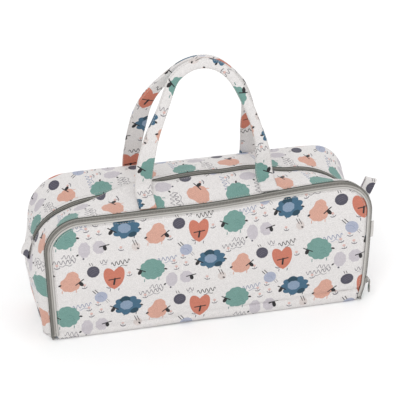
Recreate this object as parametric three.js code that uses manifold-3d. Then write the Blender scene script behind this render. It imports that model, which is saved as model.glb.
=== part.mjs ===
// Wide knitting bag with two carrying handles, a zipped top and a zipped front that folds down.
//
// Millimetres, +Z up, front towards -Y. The origin is the middle of the underside.
// Seen from the front, the bag's edge is a U turned upside down: two straight sides, two round
// corners and a flat top. The bands of the gusset follow that edge, each with its own section.

import * as THREE from "three";
import Module from "manifold-3d";

const wasm = await Module();
wasm.setup();

// Body
const HALF_WIDTH = 215; // at the front and back seams
const SEAM_TOP = 178; // height of the front and back seams
const CORNER = 46; // corner radius of the front and back panels
const LEAN = 4; // the side seams come in by this much at the base
const HALF_DEPTH = 60;
const WALL = 3; // quilted wall
const GAP = 0.4; // clearance between neighbouring pieces

// The zipped front edge is a quarter ellipse, and so is the edge round the back panel
const FRONT_ROLL = { inward: 5, deep: 7 };
const BACK_ROLL = { inward: 6, deep: 8 };
const ROLL_FRONT_Y = -HALF_DEPTH + FRONT_ROLL.deep;
const ROLL_BACK_Y = HALF_DEPTH - BACK_ROLL.deep;

// Fullness of the gusset halfway between the two panels
const FULL_HALF_SPAN = 48; // the fullness fades to nothing this far from the middle
const CROWN_TOP = 192;
const SHOULDER = { x: 122, z: 82, radius: 100 }; // the top zip turns the corner on this circle
const END_FULLNESS = { atBase: 4, most: 14, mostHeight: 78 };

// Top zip
const MAIN_ZIP_END = 118; // height where the zip stops on each end of the bag
const MAIN_ZIP_HALF = 4.4;
const CHAIN_HALF = 2;
const CHAIN_PROUD = 0.5;
const CHAIN_THICK = 2.6;
const TAPE_SINK = 0.3;
const TAPE_THICK = 1.2;
const CHAIN_INDENT = 3; // the chains start this far in from the ends of their tapes
const STOP_LENGTH = 2;

// Front zip, in degrees round the zipped edge: 0 on the front and 90 on the gusset
const FLAP_TAPE = [4, 26];
const FLAP_CHAIN = [30, 43];
const BODY_CHAIN = [47, 60];
const BODY_TAPE = [64, 87];

// Cloth tabs at the ends of the top zip, and the label in the right-hand seam
const LEFT_TAB = { low: 96, high: 117, halfWidth: 8, lift: 0.5, thick: 2.9 };
const RIGHT_TAB = { x: 235, y: 9.4, z: 136, wide: 17, thick: 3.4, long: 26, lean: 20 };
const SIDE_LABEL = { low: 88, high: 112, wide: 9.6, thick: 1.2, behind: 2 };

// Front flap
const HINGE_HEIGHT = 6;
const PIPING_INSET = 5.3;
const PIPING_WIDTH = 2.3;
const PIPING_PROUD = 1.2;
const PIPING_SINK = 1.4;
const FLAP_INSET = PIPING_INSET + PIPING_WIDTH + GAP;
const LINING_THICK = 1;
const POCKET = { halfWidth: 190, bottom: 22, top: 112, front: -49.4, skin: 1, slot: 4.8 };
const DIVIDER = { front: -44, thick: 1.8, inset: 7.8 };

// Base
const BASE_THICK = 2.2;
const BOARD_THICK = 1.6;
const BASE_CORNER = 12;
const BOARD_MARGIN = { x: 6, y: 10 };

// Handles
const HANDLE_SPAN = 160; // between the middles of the two legs
const STRAP_WIDTH = 23;
const STRAP_THICK = 2.6;
const GRIP_WIDTH = 13;
const GRIP_THICK = 8;
const FRONT_HANDLE = { y: -26, z: 190.2, apexY: -5.2, apexZ: 350 };
const REAR_HANDLE = { y: 64, z: 172, apexY: 5.2, apexZ: 350 };
const REAR_ANCHOR = { bottom: 130, top: 169.6 };
const FRONT_ANCHOR = { lift: 0.9, fromSeam: 2, beforeFoot: 1.8 };
const ROLLED = { from: 0.55, to: 0.95 }; // shares of the handle's height where the strap becomes a grip

// Sliders and pulls
const FRONT_SLIDER = { low: 26, length: 10, width: 7, thick: 4, lift: 1.9, pullOut: 5.1, pullUp: 3 };
const MAIN_SLIDER = { angle: 25, length: 10, width: 9, thick: 4, lift: 1.2, pullOut: 3, pullBack: 1 };
const MAIN_PULL_LEAN = 20;
const PULL = { width: 6, thick: 1.2, length: 20, above: 1 };

const root = new THREE.Group();

const fabric = (color) => new THREE.MeshStandardMaterial({ color, roughness: 0.85, metalness: 0 });
const PRINT = fabric(0xedeae6);
const LINING = fabric(0xd9d4cc);
const TAPE = fabric(0x9a958c);
const TEETH = fabric(0x746e68);
const PIPING = fabric(0x6f766c);
const LABEL = fabric(0xf2f0ec);
const METAL = new THREE.MeshStandardMaterial({ color: 0x9b9994, roughness: 0.35, metalness: 0.9 });

function place(name, geometry, material, parent = root) {
  const mesh = new THREE.Mesh(geometry, material);
  mesh.name = name;
  parent.add(mesh);
  return mesh;
}

// ---- The bag's edge -------------------------------------------------------------------------

const SIDE = SEAM_TOP - CORNER;
const TURN = (CORNER * Math.PI) / 2;
const FLAT = 2 * (HALF_WIDTH - CORNER);
const LENGTH = 2 * SIDE + 2 * TURN + FLAT;
const SHOULDER_END = SIDE + TURN + (HALF_WIDTH - CORNER - SHOULDER.x);
const SHOULDER_LOW_ANGLE = Math.asin((MAIN_ZIP_END - SHOULDER.z) / SHOULDER.radius);

// How far the side seam has come in at a height below the corner.
function leanAt(z) {
  return LEAN * (1 - z / SIDE);
}

// Point and outward normal of the seam on the left half, s along it from the base.
function leftSeam(s) {
  if (s <= SIDE) return { x: -HALF_WIDTH + leanAt(s), z: s, nx: -1, nz: 0 };
  if (s >= SIDE + TURN) return { x: -HALF_WIDTH + CORNER + s - SIDE - TURN, z: SEAM_TOP, nx: 0, nz: 1 };
  const a = (s - SIDE) / CORNER;
  const nx = -Math.cos(a);
  const nz = Math.sin(a);
  return { x: -HALF_WIDTH + CORNER + CORNER * nx, z: SIDE + CORNER * nz, nx, nz };
}

// How far the end of the bag stands out beyond its seams at a height below the zip's end.
function endFullness(z) {
  const { atBase, most, mostHeight } = END_FULLNESS;
  if (z < mostHeight) return atBase + (most - atBase) * Math.sin((z / mostHeight) * (Math.PI / 2));
  return most * (1 - ((z - mostHeight) / (MAIN_ZIP_END - mostHeight)) ** 2);
}

// The line halfway between front and back, on the left half.
function leftMiddle(s, seam) {
  if (s <= MAIN_ZIP_END) return { x: -HALF_WIDTH - endFullness(s), z: s };
  if (s >= SHOULDER_END) {
    const rise = CROWN_TOP - SHOULDER.z - SHOULDER.radius;
    const wave = Math.cos((seam.x / SHOULDER.x) * (Math.PI / 2)) ** 2;
    return { x: seam.x, z: CROWN_TOP - rise + rise * wave };
  }
  const share = (s - MAIN_ZIP_END) / (SHOULDER_END - MAIN_ZIP_END);
  const a = SHOULDER_LOW_ANGLE + share * (Math.PI / 2 - SHOULDER_LOW_ANGLE);
  return { x: -SHOULDER.x - SHOULDER.radius * Math.cos(a), z: SHOULDER.z + SHOULDER.radius * Math.sin(a) };
}

// A point of the gusset: s along the edge, y across the depth, inset under the outer surface.
function skin(s, y, inset) {
  const onRight = s > LENGTH / 2;
  const t = onRight ? LENGTH - s : s;
  const seam = leftSeam(t);
  const middle = leftMiddle(t, seam);
  const full = Math.max(0, 1 - (y / FULL_HALF_SPAN) ** 2);
  const x = seam.x + (middle.x - seam.x) * full - seam.nx * inset;
  const z = seam.z + (middle.z - seam.z) * full - seam.nz * inset;
  return [onRight ? -x : x, y, z];
}

// Stations from s0 to s1: close together on the corners, further apart on the straights.
function stations(s0, s1) {
  const marks = [s0, s1];
  const steps = [
    [0, SIDE, 6],
    [SIDE, SIDE + TURN, 8],
    [SIDE + TURN, LENGTH - SIDE - TURN, 12],
    [LENGTH - SIDE - TURN, LENGTH - SIDE, 8],
    [LENGTH - SIDE, LENGTH, 6],
  ];
  for (const [from, to, count] of steps)
    for (let i = 0; i <= count; i++) {
      const s = from + ((to - from) * i) / count;
      if (marks.every((m) => Math.abs(m - s) > 3) && s > s0 && s < s1) marks.push(s);
    }
  return marks.sort((a, b) => a - b);
}

// A closed body through a row of rings, each the same closed loop of points, with flat ends.
function tubeThrough(rings, capPoints) {
  const count = rings[0].length;
  const index = [];
  for (let r = 0; r + 1 < rings.length; r++)
    for (let k = 0; k < count; k++) {
      const a = r * count + k;
      const b = r * count + ((k + 1) % count);
      index.push(a, a + count, b, b, a + count, b + count);
    }
  const last = (rings.length - 1) * count;
  const loopArea = THREE.ShapeUtils.area(capPoints);
  for (const triangle of THREE.ShapeUtils.triangulateShape(capPoints, [])) {
    const sameWay = THREE.ShapeUtils.area(triangle.map((k) => capPoints[k])) * loopArea > 0;
    const [a, b, c] = sameWay ? triangle : [...triangle].reverse();
    index.push(a, b, c);
    index.push(last + a, last + c, last + b);
  }
  const geometry = new THREE.BufferGeometry();
  geometry.setAttribute("position", new THREE.Float32BufferAttribute(rings.flat(2), 3));
  geometry.setIndex(index);
  if (signedVolume(geometry) < 0) {
    for (let i = 0; i < index.length; i += 3) [index[i + 1], index[i + 2]] = [index[i + 2], index[i + 1]];
    geometry.setIndex(index);
  }
  geometry.computeVertexNormals();
  return geometry;
}

function signedVolume(geometry) {
  const p = geometry.getAttribute("position");
  const corner = [new THREE.Vector3(), new THREE.Vector3(), new THREE.Vector3()];
  let volume = 0;
  for (let i = 0; i < geometry.index.count; i += 3) {
    corner.forEach((v, k) => v.fromBufferAttribute(p, geometry.index.getX(i + k)));
    volume += corner[0].dot(corner[1].cross(corner[2])) / 6;
  }
  return volume;
}

// A band of the gusset with a section of [inset, y] points, from s0 to s1 along the edge.
function band(section, s0, s1) {
  const rings = stations(s0, s1).map((s) => section.map(([inset, y]) => skin(s, y, inset)));
  return tubeThrough(rings, section.map(([inset, y]) => new THREE.Vector2(inset, y)));
}

// Section of a strip that lies flat on the gusset, from y0 to y1 and between two depths.
function flatSection(y0, y1, outer, inner) {
  const steps = Math.max(1, Math.round((y1 - y0) / 12));
  const ys = Array.from({ length: steps + 1 }, (_, i) => y0 + ((y1 - y0) * i) / steps);
  return [...ys.map((y) => [outer, y]), ...ys.reverse().map((y) => [inner, y])];
}

// Section that follows the zipped front edge between two angles, 0 on the front, 90 on the gusset.
function rollSection(fromDeg, toDeg, outer, inner) {
  const point = (deg, depth) => {
    const a = THREE.MathUtils.degToRad(deg);
    const n = new THREE.Vector2(Math.sin(a) / FRONT_ROLL.inward, -Math.cos(a) / FRONT_ROLL.deep).normalize();
    const inset = FRONT_ROLL.inward * (1 - Math.sin(a)) + depth * n.x;
    return [inset, ROLL_FRONT_Y - FRONT_ROLL.deep * Math.cos(a) - depth * n.y];
  };
  const angles = [0, 1, 2].map((i) => fromDeg + ((toDeg - fromDeg) * i) / 2);
  return [...angles.map((d) => point(d, outer)), ...angles.reverse().map((d) => point(d, inner))];
}

// Section of a wall that runs back from y0 and turns in to meet the back panel.
function wallSection(y0) {
  const flat = flatSection(y0, ROLL_BACK_Y - 0.01, 0, WALL);
  const half = flat.length / 2;
  const turn = (depth) =>
    [30, 60, 90].map((deg) => {
      const a = THREE.MathUtils.degToRad(deg);
      const inset = BACK_ROLL.inward - (BACK_ROLL.inward - depth) * Math.cos(a);
      return [inset, ROLL_BACK_Y + (BACK_ROLL.deep - depth) * Math.sin(a)];
    });
  return [...flat.slice(0, half), ...turn(0), ...turn(WALL).reverse(), ...flat.slice(half)];
}

// Outline of a flat panel, inset from the seam, with its lower edge at a height.
function panelShape(inset, bottom) {
  const half = HALF_WIDTH - inset;
  const radius = CORNER - inset;
  const shape = new THREE.Shape();
  shape.moveTo(-half + leanAt(bottom), bottom);
  shape.lineTo(half - leanAt(bottom), bottom);
  shape.lineTo(half, SIDE);
  shape.absarc(half - radius, SIDE, radius, 0, Math.PI / 2);
  shape.absarc(radius - half, SIDE, radius, Math.PI / 2, Math.PI);
  return shape;
}

// An upright plate with its front at y and its outline in the XZ plane.
function uprightPlate(shape, y, thick) {
  const geometry = new THREE.ExtrudeGeometry(shape, { depth: thick, bevelEnabled: false, curveSegments: 8 });
  return geometry.rotateX(Math.PI / 2).translate(0, y + thick, 0);
}

function box(x0, x1, y0, y1, z0, z1) {
  const geometry = new THREE.BoxGeometry(x1 - x0, y1 - y0, z1 - z0);
  return geometry.translate((x0 + x1) / 2, (y0 + y1) / 2, (z0 + z1) / 2);
}

// ---- Base, back and gusset ------------------------------------------------------------------

function flatPlate(halfX, halfY, z, thick) {
  const shape = new THREE.Shape();
  const r = BASE_CORNER;
  shape.absarc(halfX - r, halfY - r, r, 0, Math.PI / 2);
  shape.absarc(r - halfX, halfY - r, r, Math.PI / 2, Math.PI);
  shape.absarc(r - halfX, r - halfY, r, Math.PI, 1.5 * Math.PI);
  shape.absarc(halfX - r, r - halfY, r, 1.5 * Math.PI, 2 * Math.PI);
  const options = { depth: thick, bevelEnabled: false, curveSegments: 6 };
  return new THREE.ExtrudeGeometry(shape, options).translate(0, 0, z);
}

function buildBase() {
  const half = HALF_WIDTH - LEAN - WALL - GAP;
  const board = flatPlate(half - BOARD_MARGIN.x, HALF_DEPTH - BOARD_MARGIN.y, BASE_THICK + GAP, BOARD_THICK);
  place("base_panel", flatPlate(half, HALF_DEPTH - WALL - GAP, 0, BASE_THICK), PRINT);
  place("base_board", board, LINING);
}

function buildBack() {
  const shape = panelShape(BACK_ROLL.inward + GAP, 0);
  place("back_panel", uprightPlate(shape, HALF_DEPTH - WALL, WALL), PRINT);
}

function buildDivider() {
  const shape = panelShape(DIVIDER.inset, BASE_THICK + BOARD_THICK + 2 * GAP);
  place("divider_panel", uprightPlate(shape, DIVIDER.front, DIVIDER.thick), LINING);
}

function buildGusset() {
  const low = MAIN_ZIP_END + GAP;
  const tapeEdge = MAIN_ZIP_HALF + GAP;
  const frontEdge = ROLL_FRONT_Y + GAP;
  place("left_end_panel", band(wallSection(frontEdge), 0, MAIN_ZIP_END), PRINT);
  place("right_end_panel", band(wallSection(frontEdge), LENGTH - MAIN_ZIP_END, LENGTH), PRINT);
  place("front_strip", band(flatSection(frontEdge, -tapeEdge, 0, WALL), low, LENGTH - low), PRINT);
  place("rear_strip", band(wallSection(tapeEdge), low, LENGTH - low), PRINT);
}

// ---- Zips -----------------------------------------------------------------------------------

function buildMainZip() {
  const low = MAIN_ZIP_END + GAP;
  const chainEnd = CHAIN_HALF + GAP;
  const tapeBottom = TAPE_SINK + TAPE_THICK;
  const sides = { front: -1, rear: 1 };
  for (const [side, sign] of Object.entries(sides)) {
    const tape = flatSection(chainEnd, MAIN_ZIP_HALF, TAPE_SINK, tapeBottom);
    const chain = flatSection(GAP / 2, CHAIN_HALF, -CHAIN_PROUD, CHAIN_THICK - CHAIN_PROUD);
    const turned = (section) => section.map(([inset, y]) => [inset, sign * y]);
    place(`main_zip_tape_${side}`, band(turned(tape), low, LENGTH - low), TAPE);
    const chainLow = low + CHAIN_INDENT;
    place(`main_zip_chain_${side}`, band(turned(chain), chainLow, LENGTH - chainLow), TEETH);
  }
}

// The crimped stops that close the ends of both zips.
function buildZipStops() {
  const deep = CHAIN_THICK - CHAIN_PROUD;
  const mainStop = flatSection(-CHAIN_HALF, CHAIN_HALF, -CHAIN_PROUD, deep);
  const frontStop = rollSection(...BODY_CHAIN, -CHAIN_PROUD, deep);
  const mainLow = MAIN_ZIP_END + 2 * GAP;
  const frontLow = GAP;
  for (const [kind, section, low] of [["main", mainStop, mainLow], ["front", frontStop, frontLow]]) {
    const high = low + STOP_LENGTH;
    place(`${kind}_zip_stop_left`, band(section, low, high), METAL);
    place(`${kind}_zip_stop_right`, band(section, LENGTH - high, LENGTH - low), METAL);
  }
}

function buildFrontZip() {
  const flapLow = HINGE_HEIGHT + GAP;
  const tapeDepths = [TAPE_SINK, TAPE_SINK + TAPE_THICK];
  const chainDepths = [-CHAIN_PROUD, CHAIN_THICK - CHAIN_PROUD];
  const bodyTape = band(rollSection(...BODY_TAPE, ...tapeDepths), 1, LENGTH - 1);
  const bodyChain = band(rollSection(...BODY_CHAIN, ...chainDepths), CHAIN_INDENT, LENGTH - CHAIN_INDENT);
  const flapTape = band(rollSection(...FLAP_TAPE, ...tapeDepths), flapLow, LENGTH - flapLow);
  const flapChain = band(rollSection(...FLAP_CHAIN, ...chainDepths), flapLow, LENGTH - flapLow);
  place("body_zip_tape", bodyTape, TAPE);
  place("body_zip_chain", bodyChain, TEETH);
  place("flap_zip_tape", flapTape, TAPE);
  place("flap_zip_chain", flapChain, TEETH);
}

// The folded cloth tabs that close the ends of the top zip.
function buildZipTabs() {
  const { low, high, halfWidth, lift, thick } = LEFT_TAB;
  const lying = [
    [-lift - thick, -halfWidth],
    [-lift - thick, halfWidth],
    [-lift, halfWidth],
    [-lift, -halfWidth],
  ];
  place("zip_tab_left", band(lying, low, high), PRINT);
  const size = new THREE.BoxGeometry(RIGHT_TAB.wide, RIGHT_TAB.thick, RIGHT_TAB.long);
  const standing = place("zip_tab_right", size, PRINT);
  standing.rotation.y = THREE.MathUtils.degToRad(RIGHT_TAB.lean);
  standing.position.set(RIGHT_TAB.x, RIGHT_TAB.y, RIGHT_TAB.z);
}

function buildSideLabel() {
  const { low, high, wide, thick, behind } = SIDE_LABEL;
  const x = HALF_WIDTH + GAP;
  const y = ROLL_FRONT_Y + behind;
  place("side_label", box(x, x + wide, y, y + thick, low, high), LABEL);
}

// ---- Front flap -----------------------------------------------------------------------------

function buildFlap() {
  const low = HINGE_HEIGHT + GAP;
  const liningFront = -HALF_DEPTH + WALL + GAP;
  const liningShape = panelShape(FLAP_INSET + LINING_THICK, low);
  place("flap_panel", uprightPlate(panelShape(FLAP_INSET, low), -HALF_DEPTH, WALL), PRINT);
  place("flap_lining", uprightPlate(liningShape, liningFront, LINING_THICK), LINING);
  const outer = PIPING_INSET + PIPING_WIDTH;
  const section = [
    [PIPING_INSET, -HALF_DEPTH - PIPING_PROUD],
    [PIPING_INSET, -HALF_DEPTH + PIPING_SINK],
    [outer, -HALF_DEPTH + PIPING_SINK],
    [outer, -HALF_DEPTH - PIPING_PROUD],
  ];
  place("flap_piping", band(section, low, LENGTH - low), PIPING);
  place("needle_pocket", needlePocket(liningFront + LINING_THICK + GAP), LINING);
  const stripHalf = HALF_WIDTH - LEAN - FRONT_ROLL.inward - GAP;
  const strip = box(-stripHalf, stripHalf, -HALF_DEPTH, -HALF_DEPTH + WALL, 0, HINGE_HEIGHT - GAP);
  place("hinge_strip", strip, PRINT);
}

// A flat pocket along the flap, open at the top, that holds needles lengthwise.
function needlePocket(back) {
  const { halfWidth, bottom, top, front, skin: thick, slot } = POCKET;
  const outer = solid(box(-halfWidth, halfWidth, back, front, bottom, top));
  const inside = box(-halfWidth + thick, halfWidth - thick, back - 1, back + slot, bottom + thick, top + 1);
  return geometryOf(outer.subtract(solid(inside)));
}

function solid(geometry) {
  const flat = geometry.toNonIndexed().getAttribute("position");
  const seen = new Map();
  const triVerts = new Uint32Array(flat.count);
  const vertices = [];
  for (let i = 0; i < flat.count; i++) {
    const point = [flat.getX(i), flat.getY(i), flat.getZ(i)];
    const key = point.map((v) => v.toFixed(4)).join();
    if (!seen.has(key)) {
      seen.set(key, seen.size);
      vertices.push(...point);
    }
    triVerts[i] = seen.get(key);
  }
  const vertProperties = new Float32Array(vertices);
  return new wasm.Manifold(new wasm.Mesh({ numProp: 3, vertProperties, triVerts }));
}

function geometryOf(manifold) {
  const mesh = manifold.getMesh();
  const geometry = new THREE.BufferGeometry();
  geometry.setAttribute("position", new THREE.BufferAttribute(mesh.vertProperties, 3));
  geometry.setIndex(new THREE.BufferAttribute(mesh.triVerts, 1));
  geometry.computeVertexNormals();
  return geometry;
}

// ---- Handles --------------------------------------------------------------------------------

// Middle line of a handle in its own plane: share 0 and 1 are the feet, one half is the top.
function handleLine(share, height) {
  const a = share * Math.PI;
  const x = -Math.sign(Math.cos(a)) * (HANDLE_SPAN / 2) * Math.abs(Math.cos(a)) ** 1.2;
  return new THREE.Vector2(x, height * Math.sin(a) ** 1.11);
}

// A quarter of the strap's section, as shares of its half width and half thickness.
const STRAP_QUARTER = [
  [1, 0.5],
  [0.6, 1],
];

// A flat strap that narrows and thickens into a rolled grip at the top.
function handleStrap(height) {
  const steps = 28;
  const nudge = 0.005;
  const footGap = 0.5;
  const flip = ([u, v]) => [-u, v];
  const upper = [...STRAP_QUARTER, ...STRAP_QUARTER.map(flip).reverse()];
  const loop = [...upper, ...upper.map(([u, v]) => [u, -v]).reverse()];
  const rings = Array.from({ length: steps + 1 }, (_, i) => {
    const share = i / steps;
    const at = handleLine(share, height);
    const ahead = handleLine(Math.min(1, share + nudge), height);
    const along = ahead.sub(handleLine(Math.max(0, share - nudge), height));
    const across = new THREE.Vector2(-along.y, along.x).normalize();
    if (i === 0 || i === steps) {
      across.set(i === 0 ? -1 : 1, 0);
      at.y = footGap;
    }
    const rolled = THREE.MathUtils.smoothstep(Math.sin(share * Math.PI), ROLLED.from, ROLLED.to);
    const half = THREE.MathUtils.lerp(STRAP_WIDTH, GRIP_WIDTH, rolled) / 2;
    const thick = THREE.MathUtils.lerp(STRAP_THICK, GRIP_THICK, rolled) / 2;
    return loop.map(([u, v]) => [at.x + across.x * half * u, thick * v, at.y + across.y * half * u]);
  });
  return tubeThrough(rings, loop.map(([u, v]) => new THREE.Vector2(u, v)));
}

function buildHandle(name, foot) {
  const lean = Math.atan2(foot.y - foot.apexY, foot.apexZ - foot.z);
  const height = Math.hypot(foot.y - foot.apexY, foot.apexZ - foot.z);
  const strap = place(`${name}_handle_strap`, handleStrap(height), PRINT);
  strap.rotation.x = lean;
  strap.position.set(0, foot.y, foot.z);
}

// The sewn-down ends of the straps.
function buildAnchors() {
  const middle = LENGTH / 2;
  const half = STRAP_WIDTH / 2;
  const { lift, fromSeam, beforeFoot } = FRONT_ANCHOR;
  const [front, rear] = [ROLL_FRONT_Y + fromSeam, FRONT_HANDLE.y - beforeFoot];
  for (const [side, sign] of [["left", -1], ["right", 1]]) {
    const s = middle + (sign * HANDLE_SPAN) / 2;
    const section = flatSection(front, rear, -lift - STRAP_THICK, -lift);
    place(`front_handle_anchor_${side}`, band(section, s - half, s + half), PRINT);
    const x = (sign * HANDLE_SPAN) / 2;
    const y = HALF_DEPTH + GAP;
    const patch = box(x - half, x + half, y, y + STRAP_THICK, REAR_ANCHOR.bottom, REAR_ANCHOR.top);
    place(`rear_handle_anchor_${side}`, patch, PRINT);
  }
}

// ---- Sliders and pulls ----------------------------------------------------------------------

// A pull that hangs down from its pivot at the origin.
function pullPlate() {
  const { thick, width, length, above } = PULL;
  return box(-thick / 2, thick / 2, -width / 2, width / 2, above - length, above);
}

// The front slider stands over the body's side of the zip, low on the right.
function buildFrontSlider() {
  const { low, length, width, thick, lift, pullOut, pullUp } = FRONT_SLIDER;
  const slider = place("front_zip_slider", new THREE.BoxGeometry(thick, width, length), METAL);
  const half = Math.SQRT1_2;
  const seamX = HALF_WIDTH - leanAt(low + length / 2);
  const meeting = [FRONT_ROLL.inward * (1 - half), ROLL_FRONT_Y - FRONT_ROLL.deep * half];
  const out = new THREE.Vector2(1 / FRONT_ROLL.inward, -1 / FRONT_ROLL.deep).normalize();
  const sideways = width / 2 + GAP;
  const lifted = lift + thick / 2;
  const x = seamX - meeting[0] - out.y * sideways + out.x * lifted;
  const y = meeting[1] + out.x * sideways + out.y * lifted;
  slider.rotation.z = Math.atan2(out.y, out.x);
  slider.position.set(x, y, low + length / 2);
  const pull = place("front_zip_pull", pullPlate(), METAL);
  pull.position.set(x + pullOut, y, low + pullUp);
}

// The top slider rests at the right-hand end of its zip, on the shoulder's circle.
function buildMainSlider() {
  const { angle, length, width, thick, lift, pullOut, pullBack } = MAIN_SLIDER;
  const a = THREE.MathUtils.degToRad(angle);
  const centre = new THREE.Group();
  centre.position.set(SHOULDER.x, 0, SHOULDER.z);
  centre.rotation.y = -a;
  root.add(centre);
  const slider = place("main_zip_slider", new THREE.BoxGeometry(thick, width, length), METAL, centre);
  slider.position.x = SHOULDER.radius + lift + thick / 2;
  const reach = SHOULDER.radius + thick + pullOut;
  const pull = place("main_zip_pull", pullPlate(), METAL);
  pull.rotation.y = THREE.MathUtils.degToRad(-MAIN_PULL_LEAN);
  const pivotAngle = a - THREE.MathUtils.degToRad(pullBack);
  pull.position.set(SHOULDER.x + reach * Math.cos(pivotAngle), 0, SHOULDER.z + reach * Math.sin(pivotAngle));
}

buildBase();
buildBack();
buildDivider();
buildGusset();
buildMainZip();
buildFrontZip();
buildZipStops();
buildZipTabs();
buildSideLabel();
buildFlap();
buildAnchors();
buildHandle("front", FRONT_HANDLE);
buildHandle("rear", REAR_HANDLE);
buildFrontSlider();
buildMainSlider();

export default root;
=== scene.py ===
import math

import bmesh
import bpy
import numpy as np
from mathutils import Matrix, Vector


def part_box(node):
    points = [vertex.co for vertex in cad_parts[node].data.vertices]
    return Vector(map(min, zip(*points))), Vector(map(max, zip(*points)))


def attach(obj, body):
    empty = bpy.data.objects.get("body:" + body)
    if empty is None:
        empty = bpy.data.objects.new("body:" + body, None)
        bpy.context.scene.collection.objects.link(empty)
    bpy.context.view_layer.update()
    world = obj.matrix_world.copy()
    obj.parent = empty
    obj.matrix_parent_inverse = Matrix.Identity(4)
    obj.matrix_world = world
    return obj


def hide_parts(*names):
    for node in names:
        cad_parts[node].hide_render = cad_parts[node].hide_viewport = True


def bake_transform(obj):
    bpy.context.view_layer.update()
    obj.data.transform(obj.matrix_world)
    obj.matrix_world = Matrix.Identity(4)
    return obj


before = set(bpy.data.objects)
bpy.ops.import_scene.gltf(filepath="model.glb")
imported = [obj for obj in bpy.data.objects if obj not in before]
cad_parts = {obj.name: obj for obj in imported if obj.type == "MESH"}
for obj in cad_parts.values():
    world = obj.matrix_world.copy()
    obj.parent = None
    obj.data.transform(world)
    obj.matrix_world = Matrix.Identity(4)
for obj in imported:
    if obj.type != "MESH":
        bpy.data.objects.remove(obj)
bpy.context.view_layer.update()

# Lengths below are in millimetres unless a name says otherwise. Blender's own units are metres.
MM = 0.001


# ---- Sizes shared with the frame ----


def node_box(name):
    """A CAD node's lowest and highest corners, in millimetres."""
    low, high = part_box(name)
    return np.array(low) / MM, np.array(high) / MM


WALL = 3.0
CORNER = 46.0
FRONT_ROLL_INWARD, FRONT_ROLL_DEEP = 5.0, 7.0
BACK_ROLL_INWARD, BACK_ROLL_DEEP = 6.0, 8.0
# The back panel stops a little short of the roll, and the top zip's tape lies a little under the skin
PANEL_GAP, TAPE_SUNK = 0.4, 0.3
BACK_HIGH = node_box("back_panel")[1]
HALF_DEPTH = BACK_HIGH[1]
HALF_WIDTH = BACK_HIGH[0] + BACK_ROLL_INWARD + PANEL_GAP
SEAM_TOP = BACK_HIGH[2] + BACK_ROLL_INWARD + PANEL_GAP
CROWN_TOP = node_box("main_zip_tape_front")[1][2] + TAPE_SUNK
ROLL_FRONT_Y = -HALF_DEPTH + FRONT_ROLL_DEEP
ROLL_BACK_Y = HALF_DEPTH - BACK_ROLL_DEEP
MAIN_ZIP_END = node_box("left_end_panel")[1][2]
SHOULDER_X, SHOULDER_Z, SHOULDER_RADIUS = 122.0, 82.0, 100.0
END_AT_BASE, END_MOST, END_MOST_HEIGHT = 4.0, 14.0, 78.0
FRONT_SPAN, REAR_SPAN = 48.0, 60.0
MAIN_ZIP_HALF = 4.0
HINGE_HEIGHT = 6.0
PIPING_INSET = 6.5
FLAP_INSET = 7.6
LEAN = 4.0

SIDE = SEAM_TOP - CORNER
TURN = CORNER * math.pi / 2
LENGTH = 2 * (SIDE + TURN + HALF_WIDTH - CORNER)
SHOULDER_END = SIDE + TURN + (HALF_WIDTH - CORNER - SHOULDER_X)
SHOULDER_LOW_ANGLE = math.asin((MAIN_ZIP_END - SHOULDER_Z) / SHOULDER_RADIUS)


# ---- The bag's soft shape ----


def stacked(*values):
    """Points from their coordinates, each of them an array or one number."""
    return np.stack(np.broadcast_arrays(*values), axis=-1)


def unit(v):
    return v / np.linalg.norm(v, axis=-1, keepdims=True)


def run_along(path):
    """The distance travelled along a path at each of its points."""
    return np.concatenate([[0], np.cumsum(np.linalg.norm(np.diff(path, axis=0), axis=1))])


def ramp(value, low, high):
    """0 below low, 1 above high, and a smooth rise between them."""
    t = np.clip((value - low) / (high - low), 0, 1)
    return t * t * (3 - 2 * t)


def bump(value, middle, half):
    """1 at the middle, fading smoothly to 0 at a distance of half."""
    return 1 - ramp(np.abs(value - middle), 0, half)


def seam(t):
    """Point and outward normal of the seam, on the left half, at a distance t from the base."""
    a = np.clip((t - SIDE) / CORNER, 0, math.pi / 2)
    nx, nz = -np.cos(a), np.sin(a)
    on_top = np.maximum(t - SIDE - TURN, 0)
    lean = LEAN * np.clip(1 - t / SIDE, 0, 1)
    x = -HALF_WIDTH + lean + CORNER + CORNER * nx + on_top
    z = np.minimum(t, SIDE) + CORNER * nz
    return x, z, nx, nz


def middle_line(t, x):
    """The line halfway between front and back, on the left half."""
    rising = END_AT_BASE + (END_MOST - END_AT_BASE) * np.sin(np.clip(t / END_MOST_HEIGHT, 0, 1) * math.pi / 2)
    falling = END_MOST * (1 - ((t - END_MOST_HEIGHT) / (MAIN_ZIP_END - END_MOST_HEIGHT)) ** 2)
    end = np.where(t < END_MOST_HEIGHT, rising, falling)
    share = np.clip((t - MAIN_ZIP_END) / (SHOULDER_END - MAIN_ZIP_END), 0, 1)
    a = SHOULDER_LOW_ANGLE + share * (math.pi / 2 - SHOULDER_LOW_ANGLE)
    rise = CROWN_TOP - SHOULDER_Z - SHOULDER_RADIUS
    wave = np.cos(np.clip(x / SHOULDER_X, -1, 1) * math.pi / 2) ** 2
    low, high = t <= MAIN_ZIP_END, t >= SHOULDER_END
    mx = np.where(low, -HALF_WIDTH - end, np.where(high, x, -SHOULDER_X - SHOULDER_RADIUS * np.cos(a)))
    round_z = SHOULDER_Z + SHOULDER_RADIUS * np.sin(a)
    mz = np.where(low, t, np.where(high, CROWN_TOP - rise + rise * wave, round_z))
    return mx, mz


def wrinkle(p, size, seed, waves=7):
    """Smooth wandering folds, about -1 to 1, from a few crossing waves."""
    q = p / size
    rng = np.random.default_rng(seed)
    total = 0
    for _ in range(waves):
        direction = unit(rng.normal(size=3))
        total = total + np.sin(q @ direction * rng.uniform(4, 9) + rng.uniform(0, math.tau))
    return total / (waves / 2)


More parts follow.
